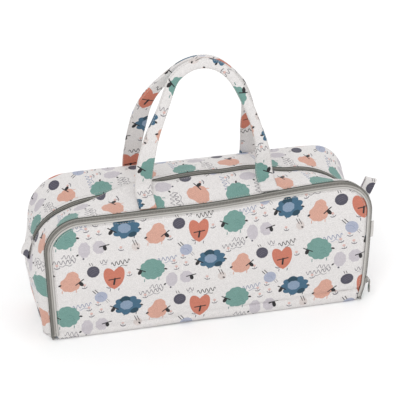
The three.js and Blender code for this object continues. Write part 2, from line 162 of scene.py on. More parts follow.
def settle(p):
    """The lopsided way the soft bag stands. Its top is higher on the right, and both its ends bulge."""
    x, y, z = np.moveaxis(p, -1, 0)
    front, rear = ramp(-y, 6, 50), ramp(y, 6, 50)
    front_lift = -2 + 10 * ramp(x, -20, 175)
    middle_lift = 6 * bump(x, 72, 50) - 8 * bump(x, -135, 62) + 8 * bump(x, -222, 50)
    rear_lift = 6 - 3.5 * bump(x, 0, 140)
    dz = ramp(z, 40, SEAM_TOP) * (front * front_lift + rear * rear_lift + (1 - front - rear) * middle_lift)
    foot, left_end, right_end = 1 - ramp(z, 0, 30), ramp(-x, 120, 206), ramp(x, 120, 206)
    # The front's lower edge is a little off the floor, and its right end swells above a drawn-in foot
    dz += 1.6 * bump(x, -20, 90) * foot * front
    dx = right_end * front * (2.0 * bump(z, 76, 104) - 4 * foot)
    dx += 3.6 * ramp(x, 150, 205) * ramp(-y, -ROLL_FRONT_Y + 0.5, HALF_DEPTH - 1.5)
    # The left end bulges high up, and again at the front near the floor
    dx -= left_end * ramp(y, -56, -34) * 7.5 * bump(z, 116, 74)
    dx -= left_end * bump(y, -38, 18) * 6 * (1 - ramp(z, 30, 110))
    return p + stacked(dx, 0, dz)


def skin(s, y, inset):
    """Points of the gusset: s along the edge, y across the depth, inset under the outer surface."""
    s, y, inset = np.broadcast_arrays(s, y, inset)
    right = s > LENGTH / 2
    t = np.where(right, LENGTH - s, s)
    x, z, nx, nz = seam(t)
    mx, mz = middle_line(t, x)
    front = np.clip(1 - (np.abs(y) / FRONT_SPAN) ** 2, 0, 1)
    rear = np.clip(1 - (np.abs(y) / REAR_SPAN) ** 2.6, 0, 1)
    full = np.where(y < 0, front, rear)
    # On the left the zip dips, and the slack cloth in front of it folds over
    slack = np.where(right, 0, bump(x, -102, 70) * (t > SIDE))
    puff = slack * (9 * bump(y, -11, 11) - 2 * bump(y, 0, 8))
    # Below both ends of the top zip the cloth sinks in a soft dimple, deeper on the left
    dimple = 3 * bump(t, 96, 34) * bump(y, 0, 30) * np.where(right, 0.4, 1)
    out = puff - dimple - inset
    mirror = np.where(right, -1, 1)
    px = mirror * (x + (mx - x) * full + nx * out)
    pz = z + (mz - z) * full + nz * out
    p = settle(stacked(px, y + slack * 7 * bump(y, -11, 8), pz))
    soft = wrinkle(p, 95, 3) * 1.1 + wrinkle(p, 42, 8) * 0.35
    fade = ramp(np.abs(y), 7, 18) * ramp(y, ROLL_FRONT_Y - 2, ROLL_FRONT_Y + 14) * (1 - ramp(y, 42, 56))
    return p + stacked(mirror * nx, 0, nz) * (soft * fade * ramp(p[..., 2], 2, 20))[..., None]


def roll_point(degrees, depth):
    """Inset and y of the zipped front edge's quarter ellipse, 0 on the front and 90 on the gusset."""
    a = np.radians(degrees)
    n = np.stack([np.sin(a) / FRONT_ROLL_INWARD, -np.cos(a) / FRONT_ROLL_DEEP])
    n = n / np.linalg.norm(n, axis=0)
    inset = FRONT_ROLL_INWARD * (1 - np.sin(a)) + depth * n[0]
    return np.stack([inset, ROLL_FRONT_Y - FRONT_ROLL_DEEP * np.cos(a) - depth * n[1]], axis=-1)


# ---- Meshes ----


def make_mesh(name, points, faces, uv=None, uv_faces=None):
    """An object from points in millimetres, with flat cloth coordinates in millimetres if given."""
    mesh = bpy.data.meshes.new(name)
    mesh.from_pydata((np.asarray(points) * MM).tolist(), [], faces)
    if uv is not None:
        index = np.concatenate([np.asarray(f) for f in (uv_faces or faces)])
        mesh.uv_layers.new(name="cloth").data.foreach_set("uv", (np.asarray(uv)[index] * MM).ravel())
    bm = bmesh.new()
    bm.from_mesh(mesh)
    bmesh.ops.recalc_face_normals(bm, faces=bm.faces)
    bm.to_mesh(mesh)
    bm.free()
    mesh.polygons.foreach_set("use_smooth", [True] * len(mesh.polygons))
    mesh.update()
    piece = bpy.data.objects.new(name, mesh)
    bpy.context.scene.collection.objects.link(piece)
    return piece


def dress(piece, material, slot, body, replaced=()):
    """Gives a piece its material and the body that it rides on. Its slot is not used."""
    piece.data.materials.append(material)
    if body:
        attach(piece, body)
    if replaced:
        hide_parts(*replaced)
    return piece


def sharpen(piece, degrees=40):
    piece.data.set_sharp_from_angle(angle=math.radians(degrees))
    return piece


def shell(name, outer, inner, uv):
    """A closed sheet between two grids of points of the same size."""
    rows, cols = outer.shape[:2]
    points = np.concatenate([outer.reshape(-1, 3), inner.reshape(-1, 3)])
    place, back = np.arange(rows * cols).reshape(rows, cols), rows * cols
    quads = np.stack([place[:-1, :-1], place[:-1, 1:], place[1:, 1:], place[1:, :-1]], axis=-1).reshape(-1, 4)
    rim = np.concatenate([place[0], place[1:, -1], place[-1, -2::-1], place[-2:0:-1, 0]])
    following = np.roll(rim, -1)
    edge = np.stack([rim, back + rim, back + following, following], axis=-1)
    faces = np.concatenate([quads, back + quads[:, ::-1], edge]).tolist()
    return make_mesh(name, points, faces, np.concatenate([uv.reshape(-1, 2)] * 2))


def ring_body(rings, around=False):
    """Points and faces of a body through rings, with flat ends or joined end to end."""
    rings = np.asarray(rings, float)
    count, size = rings.shape[:2]
    faces = []
    for i in range(count if around else count - 1):
        a, b = i * size, (i + 1) % count * size
        for k in range(size):
            m = (k + 1) % size
            faces.append((a + k, a + m, b + m, b + k))
    if not around:
        faces += [tuple(range(size)), tuple(range((count - 1) * size, count * size))]
    return rings.reshape(-1, 3), faces


def tube(name, rings, uv=None):
    """A body through a row of closed rings, with flat ends. Each row of uv repeats its ring's first point."""
    points, faces = ring_body(rings)
    if uv is None:
        return make_mesh(name, points, faces)
    count, width = uv.shape[:2]
    corners = (0, 1, width + 1, width)
    uv_faces = [[i * width + k + c for c in corners] for i in range(count - 1) for k in range(width - 1)]
    uv_faces += [range(i * width, i * width + width - 1) for i in (0, count - 1)]
    return make_mesh(name, points, faces, uv.reshape(-1, 2), uv_faces)


def band(name, section, s):
    """A strip of the gusset with a closed section of (inset, y) points, along the stations s."""
    inset, y = np.transpose(section)
    return tube(name, skin(s[:, None], y, inset))


def merged(parts):
    """Points and faces of several closed parts as one body."""
    points, faces, count = [], [], 0
    for part_points, part_faces in parts:
        points.append(part_points)
        faces += [tuple(v + count for v in f) for f in part_faces]
        count += len(part_points)
    return np.concatenate(points), faces


def scatter(name, template, frames):
    """One mesh with a copy of a small closed template at each frame of (origin, 3 axes as rows)."""
    points, faces = template
    return make_mesh(name, *merged([(points @ axes + origin, faces) for origin, axes in frames]))


def capsule(length, width, height, sides=6):
    """A small bar along its first axis with bluntly rounded ends."""
    a = math.tau * np.arange(sides) / sides
    y, z = np.cos(a) * width / 2, np.sin(a) * height / 2
    profile = ((-0.5, 0.55), (-0.32, 1.0), (0.32, 1.0), (0.5, 0.55))
    return ring_body([stacked(at * length, y * scale, z * scale) for at, scale in profile])


def path_frames(points, normals, pitch, start=0.0):
    """Frames at even steps along a path: first axis along it, third axis outwards."""
    run = run_along(points)
    frames = []
    for at in np.arange(start + pitch / 2, run[-1] - pitch / 4, pitch):
        k = min(np.searchsorted(run, at) - 1, len(run) - 2)
        share = (at - run[k]) / (run[k + 1] - run[k])
        low, high = max(k - 1, 0), min(k + 2, len(points) - 1)
        along = unit(points[high] - points[low])
        up = unit(normals[k] - along * (normals[k] @ along))
        origin = points[k] + (points[k + 1] - points[k]) * share
        frames.append((origin, np.stack([along, np.cross(up, along), up])))
    return frames


# ---- Materials ----


def linear(red, green, blue):
    """A screen colour, 0 to 255, as Blender's linear one."""
    def one(c):
        c = c / 255
        return c / 12.92 if c <= 0.04045 else ((c + 0.055) / 1.055) ** 2.4
    return (one(red), one(green), one(blue), 1.0)


class Value:
    """A number, vector or colour in a shader. Arithmetic on it adds the maths nodes for numbers."""

    def __init__(self, nodes, socket):
        self.nodes, self.socket = nodes, socket

    def __add__(self, other):
        return self.nodes.math("ADD", self, other)

    def __sub__(self, other):
        return self.nodes.math("SUBTRACT", self, other)

    def __rsub__(self, other):
        return self.nodes.math("SUBTRACT", other, self)

    def __mul__(self, other):
        return self.nodes.math("MULTIPLY", self, other)

    def __truediv__(self, other):
        return self.nodes.math("DIVIDE", self, other)

    def fit(self, gain, offset):
        return self.nodes.math("MULTIPLY_ADD", self, gain, offset)


class Nodes:
    """Short calls that add shader nodes to a tree and give back their outputs as values."""

    def __init__(self, tree):
        self.tree = tree

    def put(self, socket, value):
        if isinstance(value, Value):
            self.tree.links.new(value.socket, socket)
        else:
            socket.default_value = value

    def outputs(self, kind, inputs=(), **settings):
        """Adds a node and gives back all its outputs."""
        made = self.tree.nodes.new(kind)
        for key, value in settings.items():
            setattr(made, key, value)
        for key, value in dict(inputs).items():
            self.put(made.inputs[key], value)
        return [Value(self, socket) for socket in made.outputs]

    def node(self, kind, inputs=(), **settings):
        return self.outputs(kind, inputs, **settings)[0]

    def math(self, operation, *values):
        return self.node("ShaderNodeMath", dict(enumerate(values)), operation=operation)

    def reach(self, x, y):
        """The distance of a position from the middle."""
        return self.math("SQRT", x * x + y * y)

    def scaled(self, vector, amount):
        return self.node("ShaderNodeVectorMath", {0: vector, "Scale": amount}, operation="SCALE")

    def split(self, vector):
        return self.outputs("ShaderNodeSeparateXYZ", {0: vector})

    def mix(self, share, first, second):
        return self.outputs("ShaderNodeMix", {0: share, 6: first, 7: second}, data_type="RGBA")[2]

    def group(self, tree, *values):
        return self.outputs("ShaderNodeGroup", dict(enumerate(values)), node_tree=tree)


def new_group(name, inputs, outputs=("Result",)):
    """An empty node group that takes and gives plain numbers: its tree, its Nodes and its two ends."""
    tree = bpy.data.node_groups.new(name, "ShaderNodeTree")
    for way, labels in (("INPUT", inputs), ("OUTPUT", outputs)):
        for label in labels:
            tree.interface.new_socket(label, in_out=way, socket_type="NodeSocketFloat")
    n = Nodes(tree)
    return tree, n, n.outputs("NodeGroupInput")[:len(inputs)], tree.nodes.new("NodeGroupOutput").inputs

# The print repeats in columns, each dropped by half a repeat
COLUMN, REPEAT = 113.0, 118.0
PRINT_START = (5.0, 96.0)
PRINT_BLUR = 0.45
WEAVE_PITCH = 0.9
PLACE = ["X", "Y", "Centre X", "Centre Y"]


def make_lattice():
    """Position relative to the nearest repeat of a motif's centre."""
    tree, n, (x, y, centre_x, centre_y), given = new_group("print_repeat", PLACE, ("X", "Y"))
    x = x - centre_x
    column = n.math("ROUND", x / COLUMN)
    y = y - centre_y + column * (REPEAT / 2)
    row = n.math("ROUND", y / REPEAT)
    n.put(given["X"], x - column * COLUMN)
    n.put(given["Y"], y - row * REPEAT)
    return tree


def turned(n, x, y, centre_x, centre_y, turn):
    """A position moved to a shape's centre and turned by its angle."""
    x, y = x - centre_x, y - centre_y
    c, s = n.math("COSINE", turn), n.math("SINE", turn)
    return x * c - y * s, x * s + y * c


def make_fleece():
    """Mask of a rounded shape with a lobed edge."""
    inputs = PLACE + ["Turn", "Half width", "Half height", "Lobes", "Lobe depth"]
    tree, n, (*place, half_width, half_height, lobes, depth), given = new_group("print_fleece", inputs)
    x, y = turned(n, *place)
    x, y = x / half_width, y / half_height
    lobe = n.math("ABSOLUTE", n.math("SINE", n.math("ARCTAN2", y, x) * (lobes * 0.5)))
    inside = depth * (lobe - 0.5) + 1.0 - n.reach(x, y)
    n.put(given[0], inside * half_height / PRINT_BLUR + 0.5)
    return tree


def make_stroke():
    """Mask of a straight or wavy line with round ends."""
    inputs = PLACE + ["Turn", "Half length", "Half width", "Wave", "Wave length"]
    tree, n, (*place, half_length, half_width, wave, wave_length), given = new_group("print_stroke", inputs)
    x, y = turned(n, *place)
    phase = x * math.tau / wave_length
    steep = n.math("SINE", phase) * (wave * math.tau / wave_length)
    y = (y - n.math("COSINE", phase) * wave) / n.math("SQRT", steep.fit(steep, 1.0))
    past = n.math("MAXIMUM", n.math("ABSOLUTE", x) - half_length, 0.0)
    n.put(given[0], (half_width - n.reach(past, y)) / PRINT_BLUR + 0.5)
    return tree


def make_heart():
    """Mask of a plump heart: a circle whose height is stretched towards its sides."""
    tree, n, (*place, size), given = new_group("print_heart", PLACE + ["Turn", "Size"])
    x, y = turned(n, *place)
    x, y = x / size, y / size
    y = y + 0.08 - n.math("POWER", n.math("ABSOLUTE", x), 0.75) * y.fit(0.26, 0.56)
    n.put(given[0], (0.92 - n.reach(x, y)) * size / PRINT_BLUR + 0.5)
    return tree

GROUND = (230, 226, 224)
GROUND_LIGHT = (240, 237, 236)
TEAL = (118, 160, 152)
TEAL_DARK = (92, 138, 132)
BLUE = (66, 106, 132)
BLUE_LIGHT = (140, 160, 184)
BLUE_DEEP = (34, 70, 88)
PEACH = (221, 170, 152)
CORAL = (208, 126, 104)
SLATE = (82, 80, 94)
SLATE_LIGHT = (112, 108, 122)
LILAC = (176, 182, 202)
MIST = (206, 200, 206)
INK = (36, 34, 37)
PENCIL = (118, 114, 122)
PEN_BLUE = (138, 148, 176)
PINK = (228, 190, 182)


class Print:
    """Builds the printed pattern, one motif on top of another."""

    def __init__(self, nodes, at, colour):
        self.n, self.at, self.colour = nodes, nodes.split(at)[:2], colour
        self.lattice, self.fleece_group = make_lattice(), make_fleece()
        self.stroke_group, self.heart_group = make_stroke(), make_heart()

    def start(self, x, y):
        self.here = self.n.group(self.lattice, *self.at, x, y)

    def paint(self, group, x, y, colour, turn, *shape):
        mask = self.n.group(group, *self.here, x, y, math.radians(-turn), *shape)[0]
        self.colour = self.n.mix(mask, self.colour, linear(*colour))

    def fleece(self, x, y, half_x, half_y, colour, turn=0, lobes=0, depth=0.0):
        self.paint(self.fleece_group, x, y, colour, turn, half_x, half_y, lobes, depth)

    def stroke(self, x, y, half, thick, colour, turn=0, wave=0.0, wave_length=10.0):
        self.paint(self.stroke_group, x, y, colour, turn, half, thick, wave, wave_length)

    def heart(self, x, y, size, colour, turn=0):
        self.paint(self.heart_group, x, y, colour, turn, size)

    def head(self, x, y, turn, scale=1.0):
        """A dark lowered head with both ears in one line."""
        self.stroke(x, y, 6.2 * scale, 0.75 * scale, INK, turn)
        tilt = math.radians(turn)
        drop = 3.4 * scale
        self.fleece(x + drop * math.sin(tilt), y - drop * math.cos(tilt), 2.5 * scale, 4.0 * scale, INK, turn)

    def legs(self, x, y, apart, colour):
        for side in (-1, 1):
            self.stroke(x + side * apart, y, 1.7, 0.55, colour, 84)


def paint_sheep(p):
    """The fleecy animals of the print."""
    p.start(-3.5, -1)
    p.legs(3, -13.5, 8, BLUE_DEEP)
    p.fleece(0, 0, 17.6, 13.6, BLUE, lobes=9, depth=0.2)
    p.fleece(-3, 9.4, 7.0, 4.6, BLUE_DEEP, lobes=5, depth=0.1)
    p.fleece(9, -9.4, 5.6, 3.8, BLUE_DEEP, turn=20)
    p.fleece(-1.5, 0.4, 8.2, 6.8, BLUE_LIGHT, lobes=8, depth=0.08)
    p.fleece(18.6, -2.0, 2.1, 1.2, INK, turn=-28)
    p.head(-17.5, -1.6, -32)

    p.start(30, -67)
    p.legs(-1, -16.5, 9.5, TEAL_DARK)
    p.fleece(0, 0, 16.2, 15.6, TEAL, lobes=11, depth=0.1)
    p.fleece(-1, 9.5, 9.0, 7.0, TEAL, lobes=7, depth=0.1)
    for k in range(3):
        p.stroke(5 + k, 1 - 4 * k, 4.2, 0.22, TEAL_DARK, -18, wave=0.9, wave_length=8)
    p.fleece(17.8, -1.6, 2.3, 1.3, INK, turn=-20)
    p.head(-14.5, 0.2, -28)

    p.start(37, -13)
    p.legs(-3, -14.5, 9, PEACH)
    p.fleece(-1, -3, 13.6, 11.4, PEACH, turn=14, lobes=9, depth=0.08)
    p.fleece(1.5, 6.5, 8.4, 8.6, PEACH, lobes=7, depth=0.06)
    p.fleece(-14.6, -4.6, 2.2, 1.3, INK, turn=30)
    p.head(10.8, -1.4, 36)

    p.start(-57.5, -28)
    p.fleece(0, 0, 7.6, 11.2, MIST, lobes=8, depth=0.08)
    p.fleece(-9.0, -6.4, 1.9, 1.2, INK, turn=35)
    p.fleece(-1.5, -12.6, 1.3, 1.3, SLATE)

    p.start(-35, -25)
    p.fleece(-3, -1, 8.4, 9.4, MIST, lobes=8, depth=0.1)
    p.head(3.4, 0.6, 12)


def paint_yarn(p):
    """Hearts crossed by needles, balls of yarn and loose stitches."""
    p.start(-20, -77)
    p.heart(0, 0.6, 15.0, CORAL)
    p.stroke(0.4, 1.4, 7.4, 0.75, INK, 6)
    p.stroke(0.2, -2.4, 4.2, 1.25, INK, 80)
    for side in (-1, 1):
        p.stroke(side * 5.6, -15.2, 1.6, 0.5, SLATE, 80)

    p.start(66, -2)
    p.fleece(0, 0, 8.2, 8.2, SLATE, lobes=12, depth=0.03)
    for k in range(3):
        p.stroke(-0.6 + k, 2.6 - 2.6 * k, 4.6, 0.25, SLATE_LIGHT, 24, wave=0.9, wave_length=19)
    for k in range(2):
        p.stroke(-4.2 + 3.0 * k, 11.2, 1.9, 0.4, INK, 112)

    p.start(75, -42)
    p.fleece(0, 0, 8.4, 8.2, LILAC, lobes=12, depth=0.03)
    p.stroke(0, 0.5, 5.0, 0.28, PEN_BLUE, -30, wave=1.2, wave_length=12)
    for k in range(2):
        p.stroke(-8.8 + 3.2 * k, 8.6 + 1.2 * k, 3.1, 0.55, INK, 128)
        p.stroke(7.4 + 2.2 * k, -8.4 + 1.5 * k, 2.4, 0.3, PENCIL, 128)

    p.start(8, -26)
    p.fleece(1.5, -3.5, 5.6, 6.2, (222, 212, 208), lobes=8, depth=0.06)
    for k in range(2):
        p.stroke(-1.2 + 3.4 * k, 2.8 - 0.4 * k, 4.2, 0.45, INK, 112)
    p.fleece(4.0, -6.4, 1.7, 1.1, INK, turn=-25)


def paint_trim(p):
    """Loose ends of yarn in waves, and small sprigs between the larger motifs."""
    strands = [
        (-11, -52, 12, 0.5, INK, 8), (-33, -48, 4.5, 0.42, PENCIL, 4), (50, -53, 12, 0.46, PEN_BLUE, 6),
        (28, 16, 16, 0.42, PENCIL, 3), (-78, -36, 9, 0.36, PENCIL, -6),
    ]
    for x, y, half, thick, colour, turn in strands:
        p.start(x, y)
        p.stroke(0, 0.4, half, thick, colour, turn, wave=2.5, wave_length=5.6)
        p.stroke(half * 0.2, -4.6, half * 0.5, thick * 0.8, colour, turn, wave=0.9, wave_length=9.5)
    sprigs = (
        (20, 8), (-10, -33), (-51, -12), (-38, -7), (54, -24), (71, -54), (59, -61), (86, -29), (0, 46),
    )
    for number, (x, y) in enumerate(sprigs):
        p.start(x, y)
        p.stroke(0, 0.8, 3.2, 0.5, SLATE, 8 * (-1) ** number, wave=-1.6, wave_length=14)
        p.fleece(-0.2, 4.2, 1.9, 1.7, PINK, lobes=5, depth=0.2)
        p.stroke(0, 1.6, 1.5, 0.28, PENCIL, 90)


def principled(name, roughness=0.8, **values):
    """A material with its shader, ready for links. Uniform values are set on the shader's own sockets."""
    material = bpy.data.materials.new(name)
    material.use_nodes = True
    tree = material.node_tree
    shader = tree.nodes["Principled BSDF"]
    shader.inputs["Roughness"].default_value = roughness
    for key, value in values.items():
        shader.inputs[key.replace("_", " ")].default_value = value
    return material, Nodes(tree), shader


def cloth_position(n):
    """The flat cloth's own coordinates, in millimetres."""
    return n.scaled(n.node("ShaderNodeUVMap", uv_map="cloth"), 1 / MM)


def object_position(n):
    return n.outputs("ShaderNodeTexCoord")[3]


def add_bump(n, shader, height, strength, distance):
    inputs = {"Height": height, "Strength": strength, "Distance": distance * MM}
    n.put(shader.inputs["Normal"], n.node("ShaderNodeBump", inputs))


def noise_at(n, at, scale, detail=2.0):
    return n.node("ShaderNodeTexNoise", {"Vector": at, "Scale": scale, "Detail": detail})


def printed_cloth():
    """Off-white cloth with a matt coating and a scattered print."""
    material, n, shader = principled("printed_cloth", 0.62, Specular_IOR_Level=0.35, Sheen_Weight=0.08)
    start = (*PRINT_START, 0.0)
    at = n.node("ShaderNodeVectorMath", {0: cloth_position(n), 1: start}, operation="SUBTRACT")
    picture = Print(n, at, n.mix(noise_at(n, at, 0.35), linear(*GROUND), linear(*GROUND_LIGHT)))
    paint_trim(picture)
    paint_yarn(picture)
    paint_sheep(picture)
    wash = noise_at(n, at, 0.22, 4.0).fit(0.17, 0.69) * noise_at(n, at, 0.8).fit(0.66, 0.65)
    n.put(shader.inputs["Base Color"], n.scaled(picture.colour, wash))
    # A plain weave: two crossing sets of threads
    x, y, _ = n.split(at)
    turn = math.tau / WEAVE_PITCH
    weave = n.math("SINE", x * turn) * n.math("SINE", y * turn)
    add_bump(n, shader, weave + noise_at(n, at, 1.1, 3.0) * 1.6, 0.25, 0.12)
    n.put(shader.inputs["Roughness"], noise_at(n, at, 0.5).fit(0.14, 0.56))
    return material


def plain_cloth(name, colour, pitch, roughness=0.85, contrast=0.12):
    """Plain woven cloth or tape, with its weave in colour and height."""
    material, n, shader = principled(name, roughness, Sheen_Weight=0.15)
    at = n.scaled(object_position(n), 1 / MM)
    x, y, z = n.split(at)
    turn = math.tau / pitch
    thread = n.math("SINE", (x + y * 0.35) * turn) * n.math("SINE", (z + y * 0.8) * turn)
    shade = thread.fit(contrast / 2, 1 - contrast / 2) * noise_at(n, at, 0.08, 3.0).fit(0.12, 0.71)
    n.put(shader.inputs["Base Color"], n.scaled(linear(*colour)[:3], shade))
    add_bump(n, shader, thread, 0.4, 0.15)
    return material


def worn_metal(name, colour, roughness):
    material, n, shader = principled(name, roughness, Metallic=1.0)
    scratches = noise_at(n, object_position(n), 900.0, 4.0)
    n.put(shader.inputs["Base Color"], n.mix(scratches, linear(*colour), linear(*(c * 0.8 for c in colour))))
    n.put(shader.inputs["Roughness"], scratches.fit(0.2, roughness - 0.1))
    add_bump(n, shader, scratches, 0.15, 0.05)
    return material


PRINT = printed_cloth()
LINING = plain_cloth("lining_cloth", (214, 208, 199), 1.4)
TAPE = plain_cloth("zip_tape", (176, 173, 166), 1.1, contrast=0.22)
TAPE_PALE = plain_cloth("zip_tape_pale", (196, 192, 186), 1.1, contrast=0.2)
PIPING = plain_cloth("edge_piping", (213, 210, 205), 0.9, contrast=0.15)
# Dark olive colour painted as the shadow in the seam between the cloth and the zip tapes
SEAM_SHADOW_CORD = plain_cloth("painted_seam_shadow", (92, 94, 87), 0.8, contrast=0.25)
THREAD = plain_cloth("thread", (214, 209, 203), 0.5, roughness=0.6)
TEETH = plain_cloth("zip_teeth", (136, 133, 126), 0.8, roughness=0.45, contrast=0.1)
LABEL = plain_cloth("label_tape", (238, 235, 231), 0.7)
BOARD = plain_cloth("base_board", (170, 160, 144), 2.4)
METAL = worn_metal("slider_metal", (176, 174, 170), 0.34)

WALL_FILL, BASE_FILL, HANDLE_FILL = 0.3, 0.2, 0.5


def dress(piece, material, body, *nodes):
    """Gives a piece its material, the body that it rides on and the nodes that it replaces."""
    piece.data.materials.append(material)
    if body:
        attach(piece, body)
    if nodes:
        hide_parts(*nodes)
    return piece


def padded(piece, fill, body, *nodes):
    """Dresses one of the bag's padded cloth walls."""
    return dress(sharpen(piece, 60), PRINT, body, *nodes)


# ---- Gusset ----

TAPE_EDGE = 4.5
FRONT_EDGE = ROLL_FRONT_Y + 0.3


def stations(low, high, step=4.0):
    return np.linspace(low, high, max(2, int((high - low) / step)))


def wall_section(y0, with_back):
    """Insets and y of a wall's outer face from y0 back, turning in to the back panel if asked."""
    flat_end = ROLL_BACK_Y if with_back else -TAPE_EDGE
    y = np.linspace(y0, flat_end, max(8, int((flat_end - y0) / 2.2)))
    inset = np.zeros_like(y)
    if with_back:
        a = np.radians(np.linspace(12, 90, 8))
        inset = np.concatenate([inset, BACK_ROLL_INWARD * (1 - np.cos(a))])
        y = np.concatenate([y, ROLL_BACK_Y + BACK_ROLL_DEEP * np.sin(a)])
    return inset, y


def gusset_piece(name, s, y0, with_back, node, cut, stretch=1.0):
    """One wall of the gusset, its free edges turned under."""
    inset, y = wall_section(y0, with_back)
    run = run_along(stacked(y, inset))
    edge_run = run if with_back else np.minimum(run, run[-1] - run)
    tuck = 1.2 * np.exp(-edge_run / 1.4)
    s = s[:, None]
    deeper = np.where(y > ROLL_BACK_Y, ROLL_BACK_Y + (y - ROLL_BACK_Y) * 0.65, y)
    inner = skin(s, deeper, inset * 0.5 + WALL - 0.2)
    uv = stacked((y0 + run) * stretch, (LENGTH / 2 - s) * EASE) + cut
    padded(shell(name, skin(s, y, inset + tuck), inner, uv), WALL_FILL, "bag", node)


# Where the printed pattern falls on each cut piece. The gusset's strips are cut sideways from the
# cloth, and eased a little as they are sewn in.
EASE = 1.054
FRONT_STRIP_CUT = (80.0, 70.9)
REAR_STRIP_CUT = (16.0, 128.9)
BACK_CUT = (31.0, 12.0)
BASE_CUT = (-20.0, 35.0)


def build_gusset():
    left, right = stations(0.2, MAIN_ZIP_END), stations(LENGTH - MAIN_ZIP_END, LENGTH - 0.2)
    gusset_piece("left_end", left, FRONT_EDGE, True, "left_end_panel", FRONT_STRIP_CUT)
    gusset_piece("right_end", right, FRONT_EDGE, True, "right_end_panel", FRONT_STRIP_CUT)
    s = stations(MAIN_ZIP_END + 0.3, LENGTH - MAIN_ZIP_END - 0.3)
    gusset_piece("gusset_front", s, FRONT_EDGE, False, "front_strip", FRONT_STRIP_CUT)
    gusset_piece("gusset_rear", s, TAPE_EDGE, True, "rear_strip", REAR_STRIP_CUT, 1.25)


# ---- Flat panels ----


def narrowed(z):
    """How much of a panel's full width is left at a height, where its sides lean in at the base."""
    return 1 - LEAN * np.clip(1 - z / SIDE, 0, 1) / HALF_WIDTH


def panel_grid(inset, bottom, columns=120, rows=56):
    """x and z of a grid that fills a round-shouldered panel."""
    half, radius = HALF_WIDTH - inset, CORNER - inset
    u = np.linspace(-1, 1, columns)
    straight, corner = 0.72, radius / half
    past = np.clip((np.abs(u) - straight) / (1 - straight), 0, 1)
    along = np.minimum(np.abs(u), straight) / straight * (1 - corner) + corner * np.sin(past * math.pi / 2)
    top = SEAM_TOP - CORNER + radius * np.cos(past * math.pi / 2)
    v = np.linspace(0, 1, rows)[:, None]
    z = bottom + (top[None, :] - bottom) * v
    x = np.sign(u)[None, :] * half * along[None, :]
    return x * narrowed(z), z


def edge_distance(x, z, inset):
    """How far a point of a panel is from the panel's round-shouldered edge."""
    half, radius = HALF_WIDTH - inset, CORNER - inset
    x = np.abs(x) / narrowed(z)
    corner_x, corner_z = half - radius, SEAM_TOP - CORNER
    corner = radius - np.hypot(x - corner_x, z - corner_z)
    in_corner = (x > corner_x) & (z > corner_z)
    return np.where(in_corner, corner, np.minimum(half - x, SEAM_TOP - inset - z))


class Panel:
    """The outer face of a padded upright panel that swells towards -Y or +Y."""

    def __init__(self, inset, bottom, y, facing, puff, seed, crease=0.0):
        self.inset, self.bottom, self.y, self.facing = inset, bottom, y, facing
        self.puff, self.seed, self.crease = puff, seed, crease

    def base(self, x, z):
        return settle(stacked(x, self.y, z))

    def rise(self, x, z):
        """How far the face stands out from its flat plane."""
        side, low = np.maximum(edge_distance(x, z, self.inset), 0), z - self.bottom
        swell = self.puff * (1 - np.exp(-side / 13)) * (1 - 0.8 * np.exp(-low / 18))
        at = stacked(x, 0, z)
        folds = wrinkle(at, 120, self.seed) * 1.2 + wrinkle(at, 46, self.seed + 1) * 0.4
        fade = 1 - np.exp(-np.maximum(np.minimum(side, low), 0) / 14)
        rounded = 1.4 * np.exp(-side / 1.5) + 2.2 * np.exp(-low / 1.8)
        line = 10 + (x + HALF_WIDTH) / HALF_WIDTH * 4.5
        groove = self.crease * (0.7 + 0.7 * ramp(x, 0, 180)) * np.exp(-(((z - line) / 1.7) ** 2))
        return swell + folds * fade - rounded - groove

    def at(self, x, z, lift=0.0):
        """Points of the outer face, lifted off it if asked."""
        return self.base(x, z) + stacked(0, self.facing * (self.rise(x, z) + lift), 0)

    def solid(self, name, thick, cut=(0.0, 0.0)):
        x, z = panel_grid(self.inset, self.bottom)
        inner = self.base(x, z) - (0, self.facing * thick, 0)
        # The cloth is pulled a little off its grain towards the upper corners
        u = x + 11 * ramp(x, -50, 130) * ramp(z, 60, 160)
        v = z - 1.5 - 3 * ramp(-x, -60, 60) - 2 * (1 - ramp(z, 40, 110))
        v = v - 3.5 * ramp(-x, 80, 170) * ramp(z, 60, 130)
        return shell(name, self.at(x, z), inner, stacked(-self.facing * u, v) + cut)


FRONT = Panel(FLAP_INSET, 0.3, -HALF_DEPTH, -1, 2.2, 11, crease=2.8)
BACK = Panel(BACK_ROLL_INWARD + 0.3, 0.3, HALF_DEPTH - 0.2, 1, 2.6, 21)


def build_back():
    padded(BACK.solid("back_wall", WALL, BACK_CUT), WALL_FILL, "bag", "back_panel")


def build_divider():
    low, _ = node_box("divider_panel")
    face = Panel(9.5, low[2] + 1, low[1] + 0.6, -1, 0.5, 31)
    piece = dress(face.solid("divider", 0.9), LINING, "bag", "divider_panel")


def flat_piece(name, half_x, half_y, radius, low, high, cut=(0.0, 0.0)):
    """A level piece with round corners."""
    x = np.linspace(-half_x, half_x, 90)
    past = np.clip((np.abs(x) - (half_x - radius)) / radius, 0, 1)
    reach = half_y - radius + radius * np.sqrt(1 - past ** 2)
    y = reach * np.linspace(-1, 1, 26)[:, None]
    outer = settle(stacked(x, y, low))
    outer[..., 2] = np.maximum(outer[..., 2], 0)
    return shell(name, outer, outer + (0, 0, high - low), stacked(x, y) + cut)


def build_base():
    corner = 12
    low, high = node_box("base_panel")
    half_x = HALF_WIDTH - LEAN - WALL
    piece = flat_piece("base_wall", half_x - 0.6, high[1], corner, low[2], high[2], BASE_CUT)
    padded(piece, BASE_FILL, "bag", "base_panel")
    low, high = node_box("base_board")
    piece = flat_piece("base_board_cover", half_x - 6, high[1], corner, low[2] + 0.2, high[2] + 0.2)
    dress(sharpen(piece, 60), BOARD, "bag", "base_board")


# ---- Zips ----

PITCH = 1.9
# How deep a tape's two faces lie under the skin, and the size of the dark round strip along the cloth's edge:
# painted shadow of the shaded seam between the cloth and the zip tape
TAPE_DEPTHS = (0.5, 1.6)
SEAM_SHADOW_RADIUS = 0.62


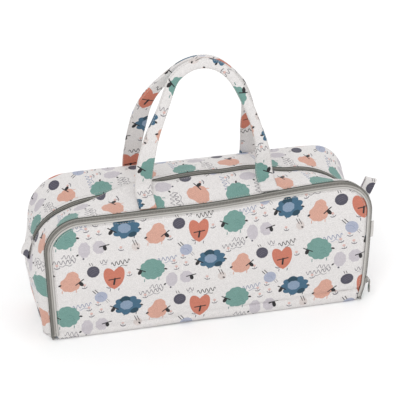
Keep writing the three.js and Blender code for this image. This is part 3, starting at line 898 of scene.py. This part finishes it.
def roll_section(from_angle, to_angle, outer, inner, steps=6):
    angles = np.linspace(from_angle, to_angle, steps)
    return np.concatenate([roll_point(angles, outer), roll_point(angles[::-1], inner)])


def round_section(inset, y, radius, sides=10):
    a = np.linspace(0, math.tau, sides, endpoint=False)
    return np.stack([inset + radius * np.cos(a), y + radius * np.sin(a)], axis=-1)


def skin_line(s, inset, y):
    """Points along the gusset and their outward directions."""
    points = skin(s, y, inset)
    return points, points - skin(s, y, inset + 1.0)


def teeth(name, points, normals, shift):
    """The interlocking coil of one side of a zip."""
    tooth, faces = capsule(2.3, 1.1, 1.3)
    return scatter(name, (tooth[:, [1, 0, 2]], faces), path_frames(points, normals, PITCH, shift))


def build_main_zip():
    low, high = MAIN_ZIP_END + 0.4, LENGTH - MAIN_ZIP_END - 0.4
    s = stations(low, high, 3.0)
    for side, sign in (("front", -1), ("rear", 1)):
        y = sign * np.linspace(0.4, MAIN_ZIP_HALF, 5)
        near, far = TAPE_DEPTHS
        section = [(near, v) for v in y] + [(far, v) for v in y[::-1]]
        tape = band(f"main_zip_cloth_{side}", section, s)
        dress(sharpen(tape), TAPE, "bag", f"main_zip_tape_{side}")
        # A thin dark strip along the tape's outer edge: painted shadow in the seam
        seam_shadow = band(f"main_zip_seam_shadow_{side}", round_section(0.2, sign * (MAIN_ZIP_HALF + 0.3), SEAM_SHADOW_RADIUS), s)
        dress(seam_shadow, SEAM_SHADOW_CORD, "bag")
        line = skin_line(stations(low + 3, high - 3, 2.0), -0.2, sign * 1.0)
        coil = teeth(f"main_zip_coil_{side}", *line, PITCH / 2 * (sign > 0))
        dress(coil, TEETH, "bag", f"main_zip_chain_{side}")


def build_front_zip():
    flap_low = HINGE_HEIGHT + 0.4
    # Round the rolled edge: each tape's two borders and its coil, in degrees from the front
    sides = (
        ("body", "bag", TAPE, 1.0, (47, 88), 3.0, 54.0),
        ("flap", "flap", TAPE_PALE, flap_low, (2, 43), flap_low + 1, 36.5),
    )
    for side, body, material, low, borders, _, _ in sides:
        section = roll_section(*borders, *TAPE_DEPTHS)
        tape = band(f"{side}_zip_cloth", section, stations(low, LENGTH - low, 3.0))
        dress(sharpen(tape), material, body, f"{side}_zip_tape")
    # The dark strip along the front zip's outer edge is painted shadow in the seam
    section = round_section(0.1, ROLL_FRONT_Y - 0.3, SEAM_SHADOW_RADIUS)
    dress(band("front_zip_seam_shadow", section, stations(1.0, LENGTH - 1.0, 3.0)), SEAM_SHADOW_CORD, "bag")
    for side, body, _, _, _, low, middle in sides:
        s = stations(low, LENGTH - low, 2.0)
        inset, y = roll_point(middle, -0.35)
        points = skin(s, y, inset)
        inset, y = roll_point(middle, -1.35)
        coil = teeth(f"{side}_zip_coil", points, skin(s, y, inset) - points, PITCH / 2 * (body == "flap"))
        dress(coil, TEETH, body, f"{side}_zip_chain")


def build_zip_stops():
    length = 2.4
    main = [
        (-0.9, -2.2), (-1.2, -1.8), (-1.2, 1.8), (-0.9, 2.2),
        (1.5, 2.2), (1.9, 1.8), (1.9, -1.8), (1.5, -2.2),
    ]
    front = roll_section(46, 61, -1.2, 2.0, 4)
    for kind, section, low in (("main", main, MAIN_ZIP_END + 0.6), ("front", front, 0.6)):
        for side, start in (("left", low), ("right", LENGTH - low - length)):
            piece = band(f"{kind}_stop_{side}", section, np.linspace(start, start + length, 4))
            dress(sharpen(piece), METAL, "bag", f"{kind}_zip_stop_{side}")


# ---- Stitching ----


def sewn(name, lines, slot, body=None, pitch=3.3):
    """Rows of thread along lines of (points, outward directions)."""
    frames = [f for points, normals in lines for f in path_frames(points, normals, pitch)]
    piece = scatter(name, capsule(pitch * 0.74, 0.46, 0.4), frames)
    piece.data.materials.append(THREAD)
    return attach(piece, body) if body else piece


def panel_line(face, inset, low, lift):
    """A line round a panel at an inset from the seam, with its outward directions."""
    s = stations(low, LENGTH - low, 3.0)
    right = s > LENGTH / 2
    x, z, nx, nz = seam(np.where(right, LENGTH - s, s))
    x, z = x - nx * inset, z - nz * inset
    x = np.where(right, -x, x)
    points = face.at(x, z, lift)
    return points, face.at(x, z, lift + 1) - points


def build_seam_stitching():
    s = stations(MAIN_ZIP_END + 4, LENGTH - MAIN_ZIP_END - 4, 3.0)
    rows = [skin_line(s, -0.1, -9.3), skin_line(s, -0.1, 9.3)]
    edge = stations(4, LENGTH - 4, 3.0)
    rows.append(skin_line(edge, -0.1, FRONT_EDGE + 2.8))
    sewn("gusset_stitching", rows, "printed_cloth", "bag")
    sewn("back_stitching", [panel_line(BACK, BACK_ROLL_INWARD + 3.2, 6, 0.05)], "printed_cloth", "bag")
    sewn("flap_stitching", [panel_line(FRONT, FLAP_INSET + 2.8, 18, 0.05)], "printed_cloth", "flap")


# ---- Front flap ----

POCKET_HALF = 190.0
# Distances under and over the hinge, in metres. They are not used to bend the cloth
BEND_UNDER, BEND_OVER = 0.005, 0.006
REARWARD = (0.0, 1.0, 0.0)


def build_flap():
    panel = padded(FRONT.solid("front_panel", WALL), WALL_FILL, None, "flap_panel", "hinge_strip")
    hinge, y = HINGE_HEIGHT * MM, -HALF_DEPTH * MM
    hinge - BEND_UNDER
    hinge + BEND_OVER
    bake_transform(panel)
    low = HINGE_HEIGHT + 1
    section = round_section(PIPING_INSET, -HALF_DEPTH - 0.1, 1.3, 12)
    dress(band("flap_piping_cord", section, stations(low, LENGTH - low, 3.0)), PIPING, "flap", "flap_piping")
    lining_low, _ = node_box("flap_lining")
    face = Panel(FLAP_INSET + 1, low, lining_low[1] + 0.1, -1, 0.0, 41)
    x, z = panel_grid(face.inset, face.bottom)
    outer = face.base(x, z)
    soft = np.clip(0.5 + 0.35 * wrinkle(stacked(x, 0, z), 60, 43), 0, 1)
    lining = shell("front_lining", outer, outer + stacked(0, 0.5 + 0.5 * soft, 0), stacked(x, z))
    dress(lining, LINING, "flap", "flap_lining")


def build_needle_pocket():
    low, high = node_box("needle_pocket")
    bottom = low[2]
    x, z = np.meshgrid(np.linspace(-POCKET_HALF, POCKET_HALF, 100), np.linspace(bottom, high[2] - 3, 26))
    base = settle(stacked(x, low[1] + 0.2, z))
    full = (1 - np.exp(-(POCKET_HALF - np.abs(x)) / 9)) * (1 - np.exp(-(z - bottom) / 9))
    depth = 4.6 * full * (0.9 + 0.08 * wrinkle(stacked(x, 0, z), 70, 51))

    def raised(extra):
        return base + stacked(0, depth + extra, 0)

    cloth = shell("needle_pocket_cloth", raised(0.0), raised(0.7), stacked(x, z))
    dress(cloth, LINING, "flap", "needle_pocket")
    edge_x = np.linspace(-POCKET_HALF, POCKET_HALF, 120)
    edge = stacked(*(np.interp(edge_x, x[-1], row) for row in raised(0.35)[-1].T))
    section = np.array([(-0.9, -7), (0.9, -7), (1.0, 0), (0.7, 1.2), (0, 1.6), (-0.7, 1.2), (-1.0, 0)])
    rings = edge[:, None] + stacked(0, section[:, 0], section[:, 1] + 1)
    dress(sharpen(tube("needle_pocket_binding", rings), 50), PIPING, "flap")
    columns = [int(np.argmin(np.abs(x[0] - side * (POCKET_HALF - 2)))) for side in (-1, 1)]
    rows = [edge + (0, 1.0, -4.6), raised(0.8)[1], *(raised(0.8)[:, k] for k in columns)]
    lines = [(row, np.broadcast_to(REARWARD, row.shape)) for row in rows]
    sewn("needle_pocket_stitching", lines, "lining", "flap")


# ---- Handles ----

STRAP_WIDTH, STRAP_THICK = 23.0, 2.8
GRIP_WIDTH, GRIP_THICK = 14.0, 8.6
HANDLE_HALF = 80.0
APEX_Z = node_box("front_handle_strap")[1][2] - 6.5
# Where the stitching runs round the strap's section, from its edges, in radians
STITCH_ANGLE = 0.62
# How many points of the arch each bend takes the place of
BEND_POINTS = 9


def cubic(p0, p1, p2, p3, t):
    t = t[:, None]
    return (1 - t) ** 3 * p0 + 3 * (1 - t) ** 2 * t * p1 + 3 * (1 - t) * t ** 2 * p2 + t ** 3 * p3


class Strap:
    """A carrying strap: sewn down at both ends, and folded into a grip at the top.

    Powers set the arch's curve on the left, at the top and on the right. Folds say between which
    shares of its height the left and the right side close into the grip.
    """

    def __init__(self, foot, apex_y, sewn_points, seed, powers, folds):
        self.foot, self.apex_y, self.seed, self.powers, self.folds = foot, apex_y, seed, powers, folds
        arch = self.arch()
        k = BEND_POINTS
        left = self.leg(sewn_points(-1), arch[k], arch[k + 1])
        right = self.leg(sewn_points(1), arch[-1 - k], arch[-2 - k])
        self.path = np.concatenate([left, arch[k:len(arch) - k], right[::-1]])
        self.run = run_along(self.path)
        self.frames()

    def arch(self, steps=96):
        """The middle line from foot to foot in the leaning plane of the handle."""
        y0, z0 = self.foot
        a = np.linspace(0, math.pi, steps)
        left, top, right = self.powers
        power = top + (left - top) * (1 - ramp(a, 0.6, 1.2))
        power = power + (right - top) * (1 - ramp(math.pi - a, 0.6, 1.2))
        x = -np.sign(np.cos(a)) * HANDLE_HALF * np.abs(np.cos(a)) ** power
        rise = np.sin(a) ** (1 / 0.9)
        y = y0 + (self.apex_y - y0) * rise
        z = z0 + (APEX_Z - z0) * rise
        lift = settle(stacked(x, y0, z0))[:, 2] - z0
        return stacked(x, y, z + lift * (1 - ramp(rise, 0.0, 0.5)))

    def leg(self, sewn, first, second):
        """The sewn end and the bend that leads up into the arch."""
        down = unit(first - second)
        reach = np.linalg.norm(first - sewn[-1]) * 0.42
        bend = cubic(sewn[-1], sewn[-1] + unit(sewn[-1] - sewn[-2]) * reach, first + down * reach, first,
                     np.linspace(0, 1, 9))
        return np.concatenate([sewn, bend[1:-1]])

    def frames(self):
        """The directions along, across and out of the strap, and how far it is rolled up."""
        x, _, z = self.path.T
        y0, z0 = self.foot
        along = unit(np.gradient(self.path, axis=0))
        left, right = (ramp(np.clip((z - z0) / (APEX_Z - z0), 0, 1), *fold) for fold in self.folds)
        self.rolled = left + (right - left) * ramp(x, -20, 20)
        lean = unit(np.array([0, self.apex_y - y0, APEX_Z - z0]))
        plane = np.cross([1.0, 0, 0], lean)
        sideways = np.cross(along, plane)
        on_body = 1 - ramp(z, z0 - 2, z0 + 26)[:, None]
        outward = unit(stacked(x, 0, z - z0 - 60))
        flip = np.sign(np.sum(sideways * outward, axis=1, keepdims=True))
        across = unit(unit(sideways) * flip * (1 - on_body) + stacked(np.sign(x), 0, 0) * on_body)
        self.across = unit(across - along * np.sum(across * along, axis=1, keepdims=True))
        face = unit(np.cross(self.across, along))
        self.face = face * np.sign(face[len(along) // 2] @ plane)

    def half_width(self):
        swell = 0.5 * np.sin(self.run / 37 + self.seed) * (1 - self.rolled)
        return (STRAP_WIDTH + (GRIP_WIDTH - STRAP_WIDTH) * self.rolled + swell) / 2

    def ring_points(self, angles):
        """Points round the strap at each station. Angle 0 is the outer edge and pi the inner one."""
        half = self.half_width()[:, None]
        thick = (STRAP_THICK + (GRIP_THICK - STRAP_THICK) * self.rolled[:, None]) / 2
        power = 2 / (5.0 - 2.4 * self.rolled[:, None])
        c, s = np.cos(angles)[None, :], np.sin(angles)[None, :]
        u = np.sign(c) * np.abs(c) ** power * half
        v = np.sign(s) * np.abs(s) ** power * thick
        # Where the folded edges meet, a groove runs along the inside of the grip
        groove = self.rolled[:, None] * np.exp(-(((angles[None, :] - math.pi) / 0.3) ** 2))
        u = u + groove * 3.2
        soft = wrinkle(stacked(self.run[:, None], u, v), 60, self.seed) * (0.25 + 0.35 * self.rolled[:, None])
        v = v * (1 + soft * 0.16)
        return self.path[:, None] + self.across[:, None] * u[..., None] + self.face[:, None] * v[..., None]

    def solid(self, name, cut):
        rings = self.ring_points(np.linspace(0, math.tau, 40, endpoint=False))
        closed = np.concatenate([rings, rings[:, :1]], axis=1)
        girth = np.cumsum(np.linalg.norm(np.diff(closed, axis=1), axis=2), axis=1)
        girth = np.concatenate([np.zeros((len(rings), 1)), girth], axis=1)
        return tube(name, rings, stacked(girth, self.run[:, None]) + cut)

    def stitch_lines(self):
        """One row near each edge on both faces of the strap."""
        lines = []
        for angle in (STITCH_ANGLE, math.pi - STITCH_ANGLE, math.pi + STITCH_ANGLE, math.tau - STITCH_ANGLE):
            points = self.ring_points(np.array([angle]))[:, 0]
            side = self.face * np.sign(math.sin(angle))
            lines.append((points[2:-2] + side[2:-2] * 0.1, side[2:-2]))
        return lines


def front_sewn(side):
    y = np.linspace(ROLL_FRONT_Y + 0.8, -32, 8)
    return skin(LENGTH / 2 + side * HANDLE_HALF, y, -STRAP_THICK / 2 - 0.1)


def rear_sewn(side):
    z = np.linspace(130, 168, 12)
    return BACK.at(np.full_like(z, side * HANDLE_HALF), z, STRAP_THICK / 2 + 0.1)


def build_handle(name, foot, apex_y, sewn_points, cut, seed, powers, folds):
    """A handle and its thread."""
    strap = Strap(foot, apex_y, sewn_points, seed, powers, folds)
    nodes = [f"{name}_handle_{part}" for part in ("strap", "anchor_left", "anchor_right")]
    piece = dress(strap.solid(f"{name}_strap", cut), PRINT, None, *nodes)
    thread = sewn(f"{name}_strap_stitching", strap.stitch_lines(), "printed_cloth", None, 3.4)
    for part in (piece, thread):
        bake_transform(part)


def build_handles():
    build_handle("front", (-26.0, 190.2), -5.2, front_sewn, cut=(13.0, 85.0), seed=61,
                 powers=(1.5, 0.95, 1.1), folds=((0.12, 0.78), (0.0, 0.5)))
    build_handle("rear", (64.0, 172.0), 5.2, rear_sewn, cut=(-26.0, -31.0), seed=67,
                 powers=(0.55, 0.95, 0.6), folds=((0.45, 0.93), (0.3, 0.66)))


# ---- Tabs and label ----

TAB_HALF_WIDTH, TAB_THICK = 8.0, 0.9
# The left tab hangs twisted and a little forwards, the right one stands at a slant
LEFT_TAB_TWIST, LEFT_TAB_FORWARD, RIGHT_TAB_SLANT = math.radians(24), 5.0, 20


def folded_strip(name, path, across, outward, half_width, gap, thick, cut=(0.0, 0.0)):
    """A strip that runs out along a path, folds over at its end and comes back behind itself."""
    along = unit(np.gradient(path, axis=0))
    turn = np.linspace(-1, 1, 9)[1:-1, None] * math.pi / 2
    end = path[-1] + gap * (np.cos(turn) * along[-1] - np.sin(turn) * outward[-1])
    spread = gap * (0.35 + 0.65 * ramp(np.linspace(0, 1, len(path)), 0, 0.5))[:, None]
    middle = np.concatenate([path + outward * spread, end, (path - outward * spread)[::-1]])
    side = np.concatenate([across, np.broadcast_to(across[-1], end.shape), across[::-1]])
    out = unit(np.cross(unit(np.gradient(middle, axis=0)), side))[:, None]
    v = np.linspace(-1, 1, 13)
    curl = 0.35 * (v ** 2)[:, None] * out
    grid = middle[:, None] + side[:, None] * (v * half_width)[:, None] - curl
    run = run_along(middle)
    uv = stacked(v * half_width, run[:, None]) + cut
    return shell(name, grid + out * thick / 2, grid - out * thick / 2, uv), run[-1]


def build_tab(side, path, across, outward, gap, cut):
    tab, length = folded_strip(f"{side}_tab", path, across, outward, TAB_HALF_WIDTH, gap, TAB_THICK, cut)
    dress(tab, PRINT, "bag", f"zip_tab_{side}")


def build_tabs():
    s = np.linspace(MAIN_ZIP_END - 0.5, MAIN_ZIP_END - 18, 14)
    hanging = ramp(-s, -MAIN_ZIP_END, -MAIN_ZIP_END + 12)
    y = -LEFT_TAB_FORWARD * hanging
    path = skin(s, y, -2.0)
    outward = unit(path - skin(s, y, -1.0))
    twist = LEFT_TAB_TWIST * hanging[:, None]
    path = path + outward * np.sin(twist) * 5
    across = REARWARD * np.cos(twist) + outward * np.sin(twist)
    outward = outward * np.cos(twist) - REARWARD * np.sin(twist)
    # The cut puts a dark slate ball of the print on the tab's fold: painted shade for the shadowed pocket
    # there
    build_tab("left", path, across, outward, 2.4, (76.0, 72.0))
    low, high = node_box("zip_tab_right")
    middle = (low + high) / 2
    rise = tilted(RIGHT_TAB_SLANT)[2] * (-1, 0, 1)
    tip, foot = middle + rise * 11, middle - rise * 11
    root = np.array([HALF_WIDTH - 3, middle[1] - 1, MAIN_ZIP_END - 6])
    path = cubic(root, root + np.array([11.0, 0, 0]), foot - rise * 2, tip, np.linspace(0, 1, 22))
    outward = np.broadcast_to((0.0, -1.0, 0.0), path.shape)
    across = unit(np.cross(unit(np.gradient(path, axis=0)), outward))
    # The cut puts a dark slate ball of the print round this tab's fold too: painted shade for the dark inside
    # of its loop
    build_tab("right", path, across, outward, 1.7, (65.0, 59.0))


def build_label():
    low, high = node_box("side_label")
    x = np.linspace(low[0] - 3, high[0] - 1, 10)
    middle_y, middle_z = (low[1] + high[1]) / 2, (low[2] + high[2]) / 2
    path = settle(stacked(x, middle_y + 4 * ramp(x, low[0] - 1, high[0]), middle_z))
    outward = -unit(np.cross([0.0, 0, 1.0], np.gradient(path, axis=0)))
    across = np.broadcast_to((0.0, 0.0, 1.0), path.shape)
    width = high[2] - low[2]
    label, length = folded_strip("end_label", path, across, outward, width / 2, 0.6, 0.5)
    dress(label, LABEL, "bag", "side_label")


# ---- Sliders and pulls ----

SLIDER_LENGTH, SLIDER_THICK = 10, 4
# The main zip's slider and its pull lie out from the shoulder's centre, in degrees and millimetres
MAIN_SLIDER_AT, MAIN_SLIDER_OUT = 25, 103.2
MAIN_PULL_AT, MAIN_PULL_OUT, MAIN_PULL_LEAN = 24, 107.0, 20
# A pull's eye and paddle: half sizes and height of the plate, then of its hole
EYE = (2.3, 3.6, -2.4, 1.2, 1.5, -1.4)
PADDLE = (3.0, 6.9, -12.1, 1.5, 2.2, -15.2)
# The rim's section: thickness, and the share of the way from the outside to the hole
RIM = ((0.6, 0.06), (0.6, 0.94), (0.42, 1.0), (-0.42, 1.0), (-0.6, 0.94), (-0.6, 0.06), (-0.42, 0), (0.42, 0))


def tilted(degrees):
    """Axes turned up from +X: outwards, across and along."""
    c, s = math.cos(math.radians(degrees)), math.sin(math.radians(degrees))
    return np.array([(c, 0, s), REARWARD, (-s, 0, c)])


def joined(name, parts, origin, axes):
    """One piece from several closed parts in a local frame."""
    points, faces = merged(parts)
    return sharpen(make_mesh(name, points @ np.asarray(axes) + origin, faces), 35)


def bevelled(outline, low, high, bevel):
    """A plate with softened rims. Its outline is in the second and third axes, its thickness in the first."""
    outline = np.asarray(outline, float)
    middle = outline.mean(axis=0)
    reach = np.linalg.norm(outline - middle, axis=1, keepdims=True)
    small = middle + (outline - middle) * (1 - bevel / reach)
    levels = [(low, small), (low + bevel, outline), (high - bevel, outline), (high, small)]
    return ring_body([stacked(at, *shape.T) for at, shape in levels])


def rod(path, radius, side, sides=10):
    """A round rod along a path that lies in the plane at right angles to a side direction."""
    up = np.cross(unit(np.gradient(path, axis=0)), side)
    a = np.linspace(0, math.tau, sides, endpoint=False)[:, None]
    return ring_body(path[:, None] + radius * (np.cos(a) * side + np.sin(a) * up[:, None]))


def superellipse(half_y, half_z, power, count=40, middle=0.0):
    a = np.linspace(0, math.tau, count, endpoint=False)
    c, s = np.cos(a), np.sin(a)
    y = np.sign(c) * np.abs(c) ** (2 / power) * half_y
    return stacked(y, np.sign(s) * np.abs(s) ** (2 / power) * half_z + middle)


def slider_parts(length, width, thick):
    """Top and bottom plates that widen towards the open end, the wedge between them and the bridge."""
    half, plate = thick / 2, 1.1
    outline = superellipse(width / 2, length / 2, 3.2)
    outline[:, 0] *= 1 - 0.22 * (1 - outline[:, 1] / (length / 2)) / 2
    wedge = superellipse(width * 0.14, length * 0.2, 2.2, 20, length * 0.22)
    flange = superellipse(0.45, length * 0.36, 4, 20)
    a = np.linspace(0, math.pi, 13)
    bridge = stacked(half - 0.4 + 2.6 * np.sin(a) ** 0.7, 0, -np.cos(a) * length * 0.36)
    return [
        bevelled(outline, half - plate, half, 0.3),
        bevelled(outline, -half, -half + plate, 0.3),
        bevelled(wedge, -half + 0.5, half - 0.5, 0.1),
        bevelled(flange - (width / 2 - 0.9, 0), -half + 0.6, half - 0.3, 0.1),
        bevelled(flange + (width / 2 - 0.9, 0), -half + 0.6, half - 0.3, 0.1),
        rod(bridge, 0.6, np.array(REARWARD)),
    ]


def pull_parts(count=48):
    """A flat pull with an eye at its top, a waist and a pierced paddle."""
    a = np.linspace(0, math.tau, count, endpoint=False)
    x, share = np.transpose(RIM)
    parts = []
    for half_y, half_z, middle, hole_y, hole_z, hole_at in (EYE, PADDLE):
        y0, z0 = superellipse(half_y, half_z, 2.8, count, middle).T[:, :, None]
        y1, z1 = np.cos(a)[:, None] * hole_y, np.sin(a)[:, None] * hole_z + hole_at
        rings = stacked(x, y0 + (y1 - y0) * share, z0 + (z1 - z0) * share)
        parts.append(ring_body(rings, around=True))
    return parts


def build_slider(zip_name, width, centre, axes, pivot, pull_axes):
    """One zip's slider and the pull that hangs from it."""
    piece = joined(f"{zip_name}_slider_body", slider_parts(SLIDER_LENGTH, width, SLIDER_THICK), centre, axes)
    dress(piece, METAL, f"{zip_name}_slider", f"{zip_name}_zip_slider")
    piece = joined(f"{zip_name}_pull_plate", pull_parts(), pivot, pull_axes)
    dress(piece, METAL, f"{zip_name}_pull", f"{zip_name}_zip_pull")


def build_sliders():
    out = unit(np.array([1 / FRONT_ROLL_INWARD, -1 / FRONT_ROLL_DEEP, 0]))
    axes = [out, np.cross([0, 0, 1.0], out), (0, 0, 1.0)]
    low, high = node_box("front_zip_pull")
    pivot = np.array([(low[0] + high[0]) / 2, (low[1] + high[1]) / 2, high[2] - 1])
    build_slider("front", 7, sum(node_box("front_zip_slider")) / 2, axes, pivot, np.eye(3))
    shoulder, axes = np.array([SHOULDER_X, 0, SHOULDER_Z]), tilted(MAIN_SLIDER_AT)
    pivot = shoulder + MAIN_PULL_OUT * tilted(MAIN_PULL_AT)[0]
    build_slider("main", 9, shoulder + axes[0] * MAIN_SLIDER_OUT, axes, pivot, tilted(MAIN_PULL_LEAN))


# ---- Floor, lights and camera, in metres ----

FLOOR_HALF, FLOOR_DROP = 4.0, 0.0004
FLOOR_COLOUR = (0.93, 0.93, 0.93, 1)
SKY_STRENGTH = 0.85
LIGHT_TARGET = (0, 0, 0.1)
CAMERA_AZIMUTH, CAMERA_ELEVATION, CAMERA_DISTANCE = math.radians(-13.4), math.radians(31), 2.18
CAMERA_FOOT, CAMERA_TARGET, CAMERA_LENS = Vector((0, 0, 0.09)), (0, 0, 0.1505), 147.3


def build_stage():
    corners = [(x * FLOOR_HALF, y * FLOOR_HALF, -FLOOR_DROP) for x, y in ((-1, -1), (1, -1), (1, 1), (-1, 1))]
    floor = make_mesh("floor", np.array(corners) / MM, [(0, 1, 2, 3)])
    material, _, shader = principled("floor", 0.9)
    shader.inputs["Base Color"].default_value = FLOOR_COLOUR
    floor.data.materials.append(material)


def aim(name, data, position, target):
    """Adds a lamp or camera that looks at a target."""
    made = bpy.data.objects.new(name, data)
    made.location = position
    made.rotation_euler = (Vector(target) - Vector(position)).to_track_quat("-Z", "Y").to_euler()
    bpy.context.scene.collection.objects.link(made)
    return made


def build_light():
    world = bpy.data.worlds.new("studio")
    world.use_nodes = True
    colour, strength = world.node_tree.nodes["Background"].inputs[:2]
    colour.default_value, strength.default_value = (1, 1, 1, 1), SKY_STRENGTH
    bpy.context.scene.world = world
    for name, position, size, power in (
        ("key", (-1.1, -1.9, 2.2), 1.6, 30),
        ("fill", (1.9, -1.2, 1.4), 1.8, 11),
        ("back", (0.4, 2.2, 1.6), 1.8, 11),
    ):
        data = bpy.data.lights.new(name, "AREA")
        data.size, data.energy = size, power
        aim(name, data, position, LIGHT_TARGET)
    bpy.context.scene.view_settings.view_transform = "Standard"


def build_camera():
    level = math.cos(CAMERA_ELEVATION)
    x, y = math.sin(CAMERA_AZIMUTH) * level, -math.cos(CAMERA_AZIMUTH) * level
    data = bpy.data.cameras.new("camera")
    data.lens = CAMERA_LENS
    position = CAMERA_FOOT + Vector((x, y, math.sin(CAMERA_ELEVATION))) * CAMERA_DISTANCE
    bpy.context.scene.camera = aim("camera", data, position, CAMERA_TARGET)

build_camera()
build_gusset()
build_back()
build_divider()
build_base()
build_main_zip()
build_front_zip()
build_zip_stops()
build_flap()
build_needle_pocket()
build_seam_stitching()
build_handles()
build_tabs()
build_label()
build_sliders()
build_stage()
build_light()
